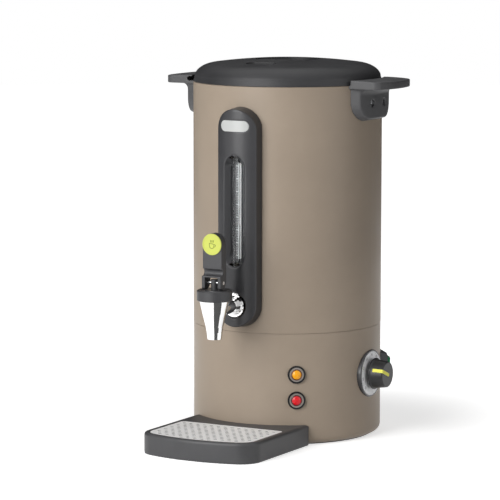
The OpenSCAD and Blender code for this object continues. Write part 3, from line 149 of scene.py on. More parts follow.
class UrnGauge(bpy.types.PropertyGroup):
    """Marks beside the sight tube"""
    fine_marks: IntProperty(name="Fine marks", description="How many fine marks the gauge has", default=36,
                            min=2, max=80)
    fine_width: length_prop("Fine mark width", "Width of a fine mark", 0.0016)
    fine_height: length_prop("Fine mark height", "Height of a fine mark", 0.0004)
    stripe_width: length_prop("Stripe width", "Width of the pale stripe beside the marks", 0.0034)
    stripe_side: length_prop("Stripe offset", "Distance of the stripe from the gauge's middle", 0.0023)


class UrnGrid(bpy.types.PropertyGroup):
    """Slots of the drip tray's grid"""
    pitch_x: length_prop("Slot pitch across", "Distance of two slots side by side", 0.009)
    pitch_y: length_prop("Row pitch", "Distance of two rows", 0.007)
    slot_length: length_prop("Slot length", "Length of a slot", 0.0046)
    slot_width: length_prop("Slot width", "Width of a slot", 0.0024)
    bead: length_prop("Rolled edge", "Radius of the rolled edge round a slot", 0.00016)


class UrnStudio(bpy.types.PropertyGroup):
    """Camera and light of the studio"""
    azimuth: FloatProperty(name="Azimuth", description="Where the camera stands round the urn",
                           subtype="ANGLE", default=math.radians(28.378))
    distance: length_prop("Distance", "Camera's distance from the urn's axis", 3.3992, 0, 20)
    height: length_prop("Height", "Camera's height above the floor", 0.6369, 0, 5)
    pitch: FloatProperty(name="Pitch", description="How far the camera looks down", subtype="ANGLE",
                         default=0.1243)
    yaw: FloatProperty(name="Yaw", description="How far the camera looks aside", subtype="ANGLE",
                       default=-0.0129)
    roll: FloatProperty(name="Roll", description="How far the camera leans", subtype="ANGLE", default=0.0007)
    lens: FloatProperty(name="Lens", description="Focal length on a 36 mm sensor", unit="CAMERA",
                        default=210.06)
    key_power: FloatProperty(name="Key light", description="Power of the large light at the left",
                             unit="POWER", default=30)
    top_power: FloatProperty(name="Top light", description="Power of the light above", unit="POWER",
                             default=4.5)
    fill_power: FloatProperty(name="Fill light", description="Power of the light at the right", unit="POWER",
                              default=3.5)
    spot_power: FloatProperty(name="Dial light", description="Power of the narrow lamp aimed at the dial",
                              unit="POWER", default=105)
    ambient: FloatProperty(name="Ambient", description="Strength of the room's even light", default=0.10,
                           min=0, max=1)
    floor_tone: FloatProperty(name="Floor tone", description="How pale the floor is", default=0.82, min=0,
                              max=1)
    floor_lift: FloatProperty(name="Floor lift", default=0.60, min=0, max=1,
                              description="Light the floor adds for the camera, reflections and glass")
    floor_reach: length_prop("Floor reach", "Distance from the urn where the floor has turned white", 0.42,
                             0, 5)


# ---- Finishes ----

# Each finish: colour (a property's name or linear values), roughness, and what sets its surface:
# grain is the size of its finest marks in metres, depth their height, mottle how much the colour varies.
FINISHES = {
    "taupe_paint": dict(colour="paint", rough=0.42, grain=0.0011, depth=2.2e-6, mottle=0.03, coat=0.03,
                        coat_rough=0.25, sockets={"Specular IOR Level": 0.20}),
    "charcoal_plastic": dict(colour="moulding", rough=0.44, grain=0.0006, depth=1.2e-5, mottle=0.08,
                             sockets={"Specular IOR Level": 0.40}),
    "handle_plastic": dict(colour=(0.088, 0.088, 0.091), rough=0.46, grain=0.0006, depth=1.2e-5, mottle=0.08,
                           sockets={"Specular IOR Level": 0.25}),
    "lid_plastic": dict(colour=(0.032, 0.032, 0.034), rough=0.46, grain=0.0007, depth=8e-6, mottle=0.08,
                        sockets={"Specular IOR Level": 0.30}),
    "knob_plastic": dict(colour=(0.020, 0.020, 0.021), rough=0.34, grain=0.0005, depth=8e-6, mottle=0.10,
                         sockets={"Specular IOR Level": 0.35}),
    "panel_plastic": dict(colour="panel", rough=0.33, grain=0.0007, depth=5e-6, mottle=0.07,
                          sockets={"Specular IOR Level": 0.40}),
    "black_plastic": dict(colour="dark", rough=0.40, grain=0.0005, depth=8e-6, mottle=0.10,
                          sockets={"Specular IOR Level": 0.40}),
    # grid_steel: wall is painted shade, a dark colour on the slots' upright walls
    "grid_steel": dict(colour=(0.98, 0.98, 0.98), rough=0.55, metallic=0.12, grain=0.0005, depth=3e-6,
                       mottle=0.03, wall=0.02),
    "deep_black": dict(colour=(0.010, 0.010, 0.011), rough=0.22, grain=0.0008, depth=3e-6, mottle=0.08),
    "black_gloss": dict(colour="dark", rough=0.24, grain=0.0009, depth=3e-6, mottle=0.10, coat=0.2,
                        coat_rough=0.08),
    "chrome": dict(colour=(0.80, 0.80, 0.80), rough=0.07, metallic=1.0, grain=0.004, depth=2e-6, mottle=0.02,
                   rough_span=0.02),
    "steel": dict(colour=(0.66, 0.67, 0.68), rough=0.26, metallic=1.0, grain=0.0005, depth=3e-6, mottle=0.05,
                  stretch=(1, 14, 14)),
    "aluminium": dict(colour=(0.74, 0.75, 0.76), rough=0.38, metallic=1.0, grain=0.0008, depth=8e-6,
                      mottle=0.06),
    "element_sheath": dict(colour=(0.30, 0.29, 0.30), rough=0.5, metallic=1.0, grain=0.0008, depth=1e-5,
                           mottle=0.18),
    "black_rubber": dict(colour=(0.018, 0.018, 0.019), rough=0.72, grain=0.0006, depth=2e-5, mottle=0.12),
    "silicone": dict(colour=(0.66, 0.66, 0.64), rough=0.5, grain=0.0008, depth=8e-6, mottle=0.04,
                     sockets={"Subsurface Weight": 0.08, "Subsurface Scale": 0.002}),
    "white_plastic": dict(colour=(0.84, 0.84, 0.84), rough=0.34, grain=0.0008, depth=3e-6, mottle=0.02),
    "lime_plastic": dict(colour="lime", rough=0.36, grain=0.0007, depth=4e-6, mottle=0.04),
    "green_plastic": dict(colour="green", rough=0.22, grain=0.0008, depth=3e-6, mottle=0.08,
                          sockets={"Transmission Weight": 0.35}),
    "amber_lens": dict(colour="amber", rough=0.12, grain=0.0012, depth=3e-6, mottle=0.05,
                       sockets={"Transmission Weight": 0.12, "IOR": 1.40,
                                "Emission Color": (1.0, 0.40, 0.0, 1.0), "Emission Strength": 0.08}),
    "red_lens": dict(colour="red", rough=0.12, grain=0.0012, depth=3e-6, mottle=0.05,
                     sockets={"Transmission Weight": 0.12, "IOR": 1.40,
                              "Emission Color": (1.0, 0.0, 0.004, 1.0), "Emission Strength": 0.04}),
    "sight_glass": dict(colour=(0.97, 0.98, 0.98), rough=0.03, grain=0.02, depth=1e-7, mottle=0.01,
                        rough_span=0.01, sockets={"Transmission Weight": 1.0, "IOR": 1.30}),
    "ceramic": dict(colour=(0.72, 0.68, 0.60), rough=0.6, grain=0.0006, depth=2e-5, mottle=0.06),
    "dial_print": dict(colour=(0.30, 0.30, 0.31), rough=0.5, grain=0.0005, depth=3e-6, mottle=0.10),
    "badge_print": dict(colour=(0.20, 0.24, 0.03), rough=0.5, grain=0.0005, depth=3e-6, mottle=0.10),
    "scale_metal": dict(colour=(0.19, 0.19, 0.20), rough=0.40, metallic=0.2, grain=0.0006, depth=2e-6,
                        mottle=0.05),
    "dial_silver": dict(colour=(0.94, 0.94, 0.95), rough=0.40, grain=0.0006, depth=3e-6, mottle=0.02),
    "pointer_yellow": dict(colour=(0.84, 0.80, 0.03), rough=0.40, grain=0.0007, depth=3e-6, mottle=0.03),
    "plate_white": dict(colour=(0.52, 0.53, 0.52), rough=0.30, grain=0.0007, depth=3e-6, mottle=0.03),
    "dull_reflector": dict(colour=(0.34, 0.31, 0.28), rough=0.30, metallic=0.6, grain=0.0008, depth=4e-6,
                           mottle=0.10),
    # painted shade: dark rims round the indicator lenses
    "amber_rim": dict(colour=(0.10, 0.020, 0.002), rough=0.15, grain=0.0008, depth=3e-6, mottle=0.10),
    "red_rim": dict(colour=(0.075, 0.001, 0.002), rough=0.15, grain=0.0008, depth=3e-6, mottle=0.10),
    "mark_paint": dict(colour=(0.90, 0.90, 0.90), rough=0.45, grain=0.0006, depth=4e-6, mottle=0.03),
}

# Nodes whose finish is not their material slot's
OTHER_FINISH = {"gauge_panel": "panel_plastic", "gauge_scale": "scale_metal", "dial_ring": "dial_silver",
                "light_reflectors": "dull_reflector", "name_plate": "plate_white",
                "drip_grid": "grid_steel", "light_bezels": "deep_black", "handle_left": "handle_plastic",
                "handle_right": "handle_plastic", "lid": "lid_plastic", "knob_pointer": "pointer_yellow",
                "knob": "knob_plastic"}


def finish_colour(value):
    if isinstance(value, str):
        value = getattr(bpy.context.scene.urn_colours, value)
    return tuple(value)


def make_finish(name, colour, rough, grain, depth, mottle, metallic=0.0, coat=0.0, coat_rough=0.1,
                rough_span=0.05, stretch=(1, 1, 1), broad=24.0, wall=None, sockets=None):
    """A procedural finish with fine grain in its bump and a soft variation in colour and roughness; given a
    wall colour, it paints shade on its upright faces.
    """
    material = bpy.data.materials.new("urn_" + name)
    material.use_nodes = True
    tree = material.node_tree
    tree.nodes.clear()

    def node(kind, **values):
        made = tree.nodes.new(kind)
        for key, value in values.items():
            made.inputs[key].default_value = value
        return made

    base = finish_colour(colour)
    shader = node("ShaderNodeBsdfPrincipled", **{"Metallic": metallic, "Coat Weight": coat,
                                                 "Coat Roughness": coat_rough, **(sockets or {})})
    place = tree.nodes.new("ShaderNodeTexCoord")
    spread = node("ShaderNodeMapping", Scale=stretch)
    fine = node("ShaderNodeTexNoise", Scale=1 / grain, Detail=3.0, Roughness=0.55)
    soft = node("ShaderNodeTexNoise", Scale=broad, Detail=4.0, Roughness=0.6)
    bump = node("ShaderNodeBump", Strength=0.7, Distance=depth)
    tint = tree.nodes.new("ShaderNodeValToRGB")
    tint.color_ramp.elements[0].position = 0.3
    tint.color_ramp.elements[1].position = 0.7
    for element, factor in zip(tint.color_ramp.elements, (1 - mottle, 1 + mottle)):
        element.color = [min(1.0, c * factor) for c in base] + [1.0]
    sheen = node("ShaderNodeMapRange", **{"From Min": 0.3, "From Max": 0.7,
                                          "To Min": max(0.02, rough - rough_span),
                                          "To Max": rough + rough_span})
    out = tree.nodes.new("ShaderNodeOutputMaterial")
    link = tree.links.new
    link(place.outputs["Object"], spread.inputs["Vector"])
    link(spread.outputs["Vector"], fine.inputs["Vector"])
    link(place.outputs["Object"], soft.inputs["Vector"])
    link(fine.outputs["Fac"], bump.inputs["Height"])
    link(soft.outputs["Fac"], tint.inputs["Fac"])
    link(soft.outputs["Fac"], sheen.inputs["Value"])
    if wall is None:
        link(tint.outputs["Color"], shader.inputs["Base Color"])
    else:
        # painted shade: the punched sheet's upright slot walls are coloured darker than its face, where shade
        # falls in them
        parts = tree.nodes.new("ShaderNodeSeparateXYZ")
        upright = node("ShaderNodeMapRange", **{"From Min": 0.3, "From Max": 0.8})
        shade = tree.nodes.new("ShaderNodeMix")
        shade.data_type = "RGBA"
        shade.inputs["A"].default_value = (wall, wall, wall, 1.0)
        link(place.outputs["Normal"], parts.inputs[0])
        link(parts.outputs["Z"], upright.inputs["Value"])
        link(upright.outputs["Result"], shade.inputs["Factor"])
        link(tint.outputs["Color"], shade.inputs["B"])
        link(shade.outputs["Result"], shader.inputs["Base Color"])
    link(sheen.outputs["Result"], shader.inputs["Roughness"])
    link(bump.outputs["Normal"], shader.inputs["Normal"])
    link(shader.outputs["BSDF"], out.inputs["Surface"])
    return material


def finish(name):
    return bpy.data.materials["urn_" + name]


# ---- Making pieces ----

def place_piece(obj, body, replaced=()):
    """Puts a finished piece on its body and hides the nodes it stands for."""
    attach(obj, body)
    if replaced:
        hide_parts(*replaced)


def new_piece(name, mesh, material):
    mesh.materials.clear()
    mesh.materials.append(finish(material))
    obj = bpy.data.objects.new(name, mesh)
    bpy.context.scene.collection.objects.link(obj)
    return obj


def settle(obj):
    """Turns an object with modifiers into a plain mesh of the same name."""
    bpy.context.view_layer.update()
    evaluated = obj.evaluated_get(bpy.context.evaluated_depsgraph_get())
    mesh = bpy.data.meshes.new_from_object(evaluated)
    obj.modifiers.clear()
    obj.data = mesh
    return obj


def merged_mesh(node):
    """A copy of a CAD node's mesh with its doubles merged."""
    mesh = NODES[node].data.copy()
    shell = bmesh.new()
    shell.from_mesh(mesh)
    bmesh.ops.remove_doubles(shell, verts=shell.verts, dist=2e-6)
    bmesh.ops.recalc_face_normals(shell, faces=shell.faces)
    plain = bpy.data.meshes.new(node + "_shell")
    shell.to_mesh(plain)
    shell.free()
    return plain


def smooth_shading(mesh, angle=40):
    for face in mesh.polygons:
        face.use_smooth = True
    mesh.set_sharp_from_angle(angle=math.radians(angle))


def moulded_copy(node, name, material, cell, rounding):
    """A node's form as a fine skin with soft moulded edges."""
    obj = new_piece(name, merged_mesh(node), material)
    skin = obj.modifiers.new("skin", "REMESH")
    skin.mode = "VOXEL"
    skin.voxel_size = cell
    skin.use_smooth_shade = True
    relax = obj.modifiers.new("relax", "SMOOTH")
    relax.factor = 0.5
    relax.iterations = rounding
    return settle(obj)


class UrnStep(bpy.types.Operator):
    """Shared by the urn's steps"""
    bl_options = {"REGISTER", "UNDO"}


class URN_OT_finishes(UrnStep):
    """Makes the finishes and gives one to every node of the urn"""
    bl_idname = "urn.finishes"
    bl_label = "Finishes"

    def execute(self, context):
        for name, values in FINISHES.items():
            make_finish(name, **values)
        for name, obj in NODES.items():
            wanted = OTHER_FINISH.get(name, obj.material_slots[0].material.name.split(".")[0])
            for slot in obj.material_slots:
                slot.material = finish(wanted)
        return {"FINISHED"}


class URN_OT_handles(UrnStep):
    """Moulds the two handles with soft edges and a crowned grip"""
    bl_idname = "urn.handles"
    bl_label = "Handles"

    def execute(self, context):
        sizes = context.scene.urn_mouldings
        for node in ("handle_left", "handle_right"):
            obj = moulded_copy(node, node + "_moulding", "handle_plastic", sizes.handle_grain,
                               sizes.handle_rounding)
            low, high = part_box(node)
            reach = max(abs(low.x), abs(high.x))
            wall = BODY_RADIUS + 0.002  # the grip starts here
            plate = 0.0100  # thickness of the grip that takes the crown
            for vertex in obj.data.vertices:
                share = (vertex.co.z - (high.z - plate)) / plate
                out = (abs(vertex.co.x) - wall) / (reach - wall)
                if share > 0 and out > 0:
                    side = min(1.0, abs(vertex.co.y) / high.y)
                    vertex.co.z -= sizes.handle_crown * min(1.0, share) * (out ** 2 + 0.35 * side ** 4 * out)
            place_piece(obj, "urn", (node,))
        return {"FINISHED"}


class URN_OT_panel(UrnStep):
    """Moulds the gauge panel with soft edges"""
    bl_idname = "urn.panel"
    bl_label = "Gauge panel"

    def execute(self, context):
        sizes = context.scene.urn_mouldings
        obj = moulded_copy("gauge_panel", "gauge_panel_moulding", "panel_plastic", sizes.panel_grain,
                           sizes.panel_rounding)
        place_piece(obj, "urn", ("gauge_panel",))
        return {"FINISHED"}


class URN_OT_tray(UrnStep):
    """Moulds the drip tray and rolls the edges of its grid's slots"""
    bl_idname = "urn.tray"
    bl_label = "Drip tray"

    def execute(self, context):
        sizes = context.scene.urn_mouldings
        obj = moulded_copy("drip_tray", "drip_tray_moulding", "charcoal_plastic", sizes.tray_grain,
                           sizes.tray_rounding)
        place_piece(obj, "tray", ("drip_tray",))
        grid = context.scene.urn_grid
        beads = slot_beads(grid)
        place_piece(beads, "grid")
        return {"FINISHED"}


class URN_OT_tap(UrnStep):
    """Softens the lever's edges and prints a plain cup on its badge"""
    bl_idname = "urn.tap"
    bl_label = "Tap"

    def execute(self, context):
        sizes = context.scene.urn_mouldings
        obj = moulded_copy("tap_lever", "tap_lever_moulding", "black_plastic", sizes.lever_grain,
                           sizes.lever_rounding)
        place_piece(obj, "lever", ("tap_lever",))
        place_piece(cup_sign(), "lever")
        low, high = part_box("tap_spring")
        place_piece(spring_coil(low, high), "urn", ("tap_spring",))
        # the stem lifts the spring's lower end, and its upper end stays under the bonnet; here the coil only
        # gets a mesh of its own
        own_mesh(bpy.data.objects["tap_spring_coil"])
        return {"FINISHED"}


class URN_OT_dial(UrnStep):
    """Prints figures and fine lines on the dial"""
    bl_idname = "urn.dial"
    bl_label = "Dial"

    def execute(self, context):
        place_piece(dial_figures(context.scene.urn_dial), "urn")
        place_piece(dial_lines(context.scene.urn_dial), "urn")
        return {"FINISHED"}


class URN_OT_gauge(UrnStep):
    """Adds the painted marks beside the sight tube, and a pale stripe that is a painted highlight of the tube
    """
    bl_idname = "urn.gauge"
    bl_label = "Gauge marks"

    def execute(self, context):
        gauge = context.scene.urn_gauge
        place_piece(gauge_marks(gauge), "urn")
        place_piece(gauge_highlight_stripe(gauge), "urn")
        return {"FINISHED"}


class URN_OT_lights(UrnStep):
    """Rims the two indicator lenses with dark rings of painted shade"""
    bl_idname = "urn.lights"
    bl_label = "Indicator lights"

    def execute(self, context):
        for rim, lens in lens_shade_rims():
            place_piece(rim, "urn")
        return {"FINISHED"}


class URN_OT_studio(UrnStep):
    """Sets up the floor, the lights, the room and the camera"""
    bl_idname = "urn.studio"
    bl_label = "Studio"

    def execute(self, context):
        studio = context.scene.urn_studio
        set_floor(studio)
        set_room(studio)
        set_lights(studio)
        set_dial_spot(studio)
        set_screens(studio)
        set_camera(studio)
        context.scene.view_settings.view_transform = "Standard"
        return {"FINISHED"}


# ---- Repeated pieces, by Geometry Nodes ----

class NodeBench:
    """Builds a geometry tree: its inputs by name, its nodes and its links."""

    def __init__(self, name):
        self.tree = bpy.data.node_groups.new(name, "GeometryNodeTree")
        self.tree.interface.new_socket("Geometry", in_out="INPUT", socket_type="NodeSocketGeometry")
        self.tree.interface.new_socket("Geometry", in_out="OUTPUT", socket_type="NodeSocketGeometry")
        self.names = {}
        self.entry = self.tree.nodes.new("NodeGroupInput")

    def size(self, name, default, kind="NodeSocketFloat"):
        socket = self.tree.interface.new_socket(name, in_out="INPUT", socket_type=kind)
        socket.default_value = default
        self.names[name] = socket.identifier
        return self.entry.outputs[name]

    def node(self, kind, links=None, **values):
        made = self.tree.nodes.new(kind)
        for key, value in values.items():
            setattr(made, key, value)
        for key, value in (links or {}).items():
            if isinstance(value, bpy.types.NodeSocket):
                self.tree.links.new(value, made.inputs[key])
            else:
                made.inputs[key].default_value = value
        return made

    def end(self, geometry):
        real = self.node("GeometryNodeRealizeInstances", {"Geometry": geometry})
        coat = self.node("GeometryNodeSetMaterial", {"Geometry": real.outputs["Geometry"],
                                                     "Material": self.entry.outputs["Finish"]})
        out = self.tree.nodes.new("NodeGroupOutput")
        self.tree.links.new(coat.outputs["Geometry"], out.inputs["Geometry"])

    def run(self, name, mesh, material, values):
        """Makes the piece: a plain mesh object with the tree's result."""
        obj = new_piece(name, mesh, material)
        modifier = obj.modifiers.new("repeat", "NODES")
        modifier.node_group = self.tree
        for key, value in values.items():
            modifier[self.names[key]] = value
        modifier[self.names["Finish"]] = finish(material)
        settle(obj)
        if not obj.data.polygons:
            raise RuntimeError(name + " came out empty")
        return obj


def bar_mesh(bench, length, width, height):
    size = bench.node("ShaderNodeCombineXYZ", {0: length, 1: width, 2: height})
    return bench.node("GeometryNodeMeshCube", {"Size": size.outputs[0]})


def start_bench(name):
    bench = NodeBench(name)
    socket = bench.tree.interface.new_socket("Finish", in_out="INPUT", socket_type="NodeSocketMaterial")
    bench.names["Finish"] = socket.identifier
    return bench


def gauge_marks(gauge):
    """Painted marks up the gauge's scale, evenly spaced."""
    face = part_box("gauge_scale")[0].y
    bench = start_bench("urn_gauge_marks")
    count = bench.size("Count", 8, "NodeSocketInt")
    pitch = bench.size("Pitch", 0.01)
    width = bench.size("Width", 0.001)
    height = bench.size("Height", 0.001)
    thick = bench.size("Thickness", 0.0001)
    step = bench.node("ShaderNodeCombineXYZ", {2: pitch})
    row = bench.node("GeometryNodeMeshLine", {"Count": count, "Offset": step.outputs[0]})
    bar = bar_mesh(bench, width, thick, height)
    marks = bench.node("GeometryNodeInstanceOnPoints", {"Points": row.outputs["Mesh"],
                                                        "Instance": bar.outputs["Mesh"]})
    bench.end(marks.outputs["Instances"])
    coarse = bench.run("gauge_marks", bpy.data.meshes.new("marks"), "mark_paint",
                       {"Count": 8, "Pitch": MARK_STEP, "Width": 0.0030, "Height": 0.0011,
                        "Thickness": MARK_THICK})
    fine = bench.run("gauge_fine", bpy.data.meshes.new("fine"), "mark_paint",
                     {"Count": gauge.fine_marks, "Pitch": MARK_STEP / 5, "Width": gauge.fine_width,
                      "Height": gauge.fine_height, "Thickness": MARK_THICK})
    join_into(coarse, [fine])
    coarse.data.transform(Matrix.Translation((MARK_SIDE, face - 0.00005, LOWEST_MARK)))
    return coarse


def gauge_highlight_stripe(gauge):
    """The pale stripe beside the marks, a thin round-edged strip on the scale; its pale tone is a painted
    highlight, standing in for the sight tube's bright streak.
    """
    low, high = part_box("gauge_scale")
    half = gauge.stripe_width / 2
    thick = 0.00035
    shell = bmesh.new()
    rings = []
    for z in (low.z, high.z):
        ring = [shell.verts.new((gauge.stripe_side + half * math.cos(a), low.y - thick * math.sin(a), z))
                for a in [math.pi * k / 10 for k in range(11)]]
        rings.append(ring)
    for one, two in zip(range(10), range(1, 11)):
        shell.faces.new((rings[0][one], rings[0][two], rings[1][two], rings[1][one]))
    for ring in rings:
        shell.faces.new(ring)
    shell.faces.new((rings[0][0], rings[1][0], rings[1][-1], rings[0][-1]))
    bmesh.ops.recalc_face_normals(shell, faces=shell.faces)
    mesh = bpy.data.meshes.new("stripe")
    shell.to_mesh(mesh)
    shell.free()
    return new_piece("gauge_highlight_stripe", mesh, "mark_paint")


def join_into(target, others):
    """Adds the meshes of other pieces to a piece and removes them."""
    shell = bmesh.new()
    shell.from_mesh(target.data)
    for other in others:
        shell.from_mesh(other.data)
        bpy.data.objects.remove(other)
    shell.to_mesh(target.data)
    shell.free()


def dial_lines(dial):
    """Fine lines on the dial, spread on an arc."""
    bench = start_bench("urn_dial_lines")
    count = bench.size("Count", 41, "NodeSocketInt")
    radius = bench.size("Radius", 0.02)
    sweep = bench.size("Sweep", 4.7)
    length = bench.size("Length", 0.001)
    width = bench.size("Width", 0.0003)
    thick = bench.size("Thickness", 0.0001)
    arc = bench.node("GeometryNodeCurveArc", {"Resolution": 128, "Radius": radius, "Start Angle": 0.0,
                                              "Sweep Angle": sweep})
    points = bench.node("GeometryNodeCurveToPoints", {"Curve": arc.outputs["Curve"], "Count": count},
                        mode="COUNT")
    # the curve's tangent lies along each line's width
    turn = bench.node("FunctionNodeAlignRotationToVector", {"Vector": points.outputs["Tangent"]}, axis="Y")
    bar = bar_mesh(bench, length, width, thick)
    lines = bench.node("GeometryNodeInstanceOnPoints", {"Points": points.outputs["Points"],
                                                        "Instance": bar.outputs["Mesh"],
                                                        "Rotation": turn.outputs["Rotation"]})
    bench.end(lines.outputs["Instances"])
    obj = bench.run("dial_lines", bpy.data.meshes.new("lines"), "dial_print",
                    {"Count": dial.line_count, "Radius": dial.line_radius, "Sweep": dial.sweep,
                     "Length": dial.line_length, "Width": dial.line_width, "Thickness": 0.00012})
    # from the drawing's plane to the dial's face: first line at the lower front
    start = math.radians(90) - (math.tau - dial.sweep) / 2
    obj.data.transform(dial_plane() @ Matrix.Rotation(-start - dial.sweep, 4, "Z"))
    return obj


def dial_plane():
    """From a drawing's plane, x right and y up as seen from outside, to the dial's face."""
    low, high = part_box("dial_ring")
    axes = Matrix(((0, 0, 1, 0), (1, 0, 0, 0), (0, 1, 0, 0), (0, 0, 0, 1)))
    return Matrix.Translation((high.x, (low.y + high.y) / 2, (low.z + high.z) / 2)) @ axes


def dial_figures(dial):
    """Upright figures round the dial, from its lower left clockwise to its lower right."""
    pieces = []
    for index in range(dial.figures):
        text = bpy.data.curves.new("figure", "FONT")
        text.body = str(dial.first_figure + index * dial.figure_step)
        text.size = dial.figure_height / 0.70
        text.align_x = "CENTER"
        text.align_y = "CENTER"
        text.extrude = 0.00006
        obj = bpy.data.objects.new("figure", text)
        bpy.context.scene.collection.objects.link(obj)
        bpy.context.view_layer.update()
        mesh = bpy.data.meshes.new_from_object(obj.evaluated_get(bpy.context.evaluated_depsgraph_get()))
        bpy.data.objects.remove(obj)
        angle = dial.sweep / 2 - index * dial.sweep / (dial.figures - 1)
        spot = Vector((-math.sin(angle), math.cos(angle), 0)) * dial.figure_radius
        mesh.transform(dial_plane() @ Matrix.Translation(spot) @ Matrix.Rotation(angle, 4, "Z"))
        pieces.append(new_piece("figure", mesh, "dial_print"))
    join_into(pieces[0], pieces[1:])
    pieces[0].name = "dial_figures"
    return pieces[0]


def slot_places(grid):
    """Centres of the grid's slots, found from the slots' rule and the tray's outline."""
    low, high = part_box("drip_tray")
    rim = 0.0065
    margin = 0.0035
    back = BODY_RADIUS + 0.020
    half = high.x
    front = -low.y
    bow = 0.190
    corner = 0.026
    first_row = 0.003
    inset = rim + margin
    bow_y = front - bow
    corner_x = half - corner
    corner_y = bow_y + math.sqrt((bow - corner) ** 2 - (half - corner) ** 2)
    places = []
    rows = int((front - back - rim) / grid.pitch_y)
    columns = math.ceil(2 * half / grid.pitch_x / 2)
    for row in range(rows + 1):
        for column in range(-columns, columns + 1):
            x = (column + (row % 2) / 2) * grid.pitch_x
            y = front - rim - margin - first_row - row * grid.pitch_y
            end = abs(x) + grid.slot_length / 2
            fits = (end < half - inset and math.hypot(end, y + grid.slot_width / 2 - bow_y) < bow - inset
                    and y - grid.slot_width / 2 > back + margin
                    and (y < corner_y or end < corner_x
                         or math.hypot(end - corner_x, y - corner_y) < corner - inset))
            if fits:
                places.append((x, -y, 0.0))
    return places


def slot_beads(grid):
    """A rolled edge round each slot of the grid."""
    bench = start_bench("urn_slot_beads")
    length = bench.size("Length", 0.004)
    width = bench.size("Width", 0.002)
    bead = bench.size("Bead", 0.0003)
    outline = bench.node("GeometryNodeCurvePrimitiveQuadrilateral", {"Width": length, "Height": width})
    half = bench.node("ShaderNodeMath", {0: width, 1: 0.49}, operation="MULTIPLY")
    fillet = bench.node("GeometryNodeFilletCurve", {"Curve": outline.outputs["Curve"],
                                                    "Radius": half.outputs[0]}, mode="POLY")
    fillet.inputs["Count"].default_value = 3
    profile = bench.node("GeometryNodeCurvePrimitiveCircle", {"Resolution": 6, "Radius": bead})
    ring = bench.node("GeometryNodeCurveToMesh", {"Curve": fillet.outputs["Curve"],
                                                  "Profile Curve": profile.outputs["Curve"]})
    spread = bench.node("GeometryNodeInstanceOnPoints", {"Points": bench.entry.outputs["Geometry"],
                                                         "Instance": ring.outputs["Mesh"]})
    bench.end(spread.outputs["Instances"])
    mesh = bpy.data.meshes.new("slots")
    mesh.from_pydata(slot_places(grid), [], [])
    obj = bench.run("grid_slot_edges", mesh, "grid_steel",
                    {"Length": grid.slot_length + grid.bead, "Width": grid.slot_width + grid.bead,
                     "Bead": grid.bead})
    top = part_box("drip_grid")[1].z
    obj.data.transform(Matrix.Translation((0, 0, top - 0.4 * grid.bead)))
    return obj


def cup_sign():
    """A plain cup with steam, drawn in raised lines on the lever's badge."""
    low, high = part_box("lever_badge")
    centre = ((low.x + high.x) / 2, low.y + 0.0003, (low.z + high.z) / 2)
    cup = [(-3.4, 1.0), (-3.0, -3.2), (-2.0, -4.4), (1.4, -4.4), (2.4, -3.2), (2.8, 1.0), (-3.4, 1.0)]
    ear = [(2.7, 0.0), (4.4, -0.2), (4.6, -1.8), (3.6, -2.8), (2.5, -2.7)]
    lines = [cup, ear]
    for x in (-1.9, -0.2, 1.5):
        lines.append([(x, 2.2), (x + 0.7, 3.1), (x, 4.0), (x + 0.7, 4.9)])
    curve = bpy.data.curves.new("cup", "CURVE")
    curve.dimensions = "3D"
    curve.bevel_depth = 0.00042
    curve.bevel_resolution = 1
    for line in lines:
        spline = curve.splines.new("NURBS")
        spline.points.add(len(line) - 1)
        for point, (x, z) in zip(spline.points, line):
            point.co = (x * MM, 0.0, z * MM, 1.0)
        spline.order_u = 3
        spline.use_endpoint_u = True
    obj = bpy.data.objects.new("cup_curve", curve)
    bpy.context.scene.collection.objects.link(obj)
    bpy.context.view_layer.update()
    mesh = bpy.data.meshes.new_from_object(obj.evaluated_get(bpy.context.evaluated_depsgraph_get()))
    bpy.data.objects.remove(obj)
    mesh.transform(Matrix.Translation(centre) @ Matrix.Diagonal((1, 0.4, 1, 1)))
    return new_piece("badge_cup", mesh, "badge_print")


def spring_coil(low, high):
    """The tap's spring as a coil of wire round the stem."""
    wire = 0.00055
    margin = 1.1 * wire  # half the wire and a little air at each end
    bench = start_bench("urn_spring")
    radius = bench.size("Radius", 0.004)
    turns = bench.size("Turns", 7.0)
    height = bench.size("Height", 0.01)
    thick = bench.size("Wire", 0.0005)
    path = bench.node("GeometryNodeCurveSpiral", {"Resolution": 28, "Rotations": turns,
                                                  "Start Radius": radius, "End Radius": radius,
                                                  "Height": height})
    profile = bench.node("GeometryNodeCurvePrimitiveCircle", {"Resolution": 10, "Radius": thick})
    coil = bench.node("GeometryNodeCurveToMesh", {"Curve": path.outputs["Curve"],
                                                  "Profile Curve": profile.outputs["Curve"],
                                                  "Fill Caps": True})
    bench.end(coil.outputs["Mesh"])
    obj = bench.run("tap_spring_coil", bpy.data.meshes.new("coil"), "steel",
                    {"Radius": (high.x - low.x) / 2 - wire, "Turns": 8.0,
                     "Height": high.z - low.z - 2 * margin, "Wire": wire})
    foot = ((low.x + high.x) / 2, (low.y + high.y) / 2, low.z + margin)
    obj.data.transform(Matrix.Translation(foot))
    shell = bmesh.new()
    shell.from_mesh(obj.data)
    bmesh.ops.recalc_face_normals(shell, faces=shell.faces)
    shell.to_mesh(obj.data)
    shell.free()
    return obj


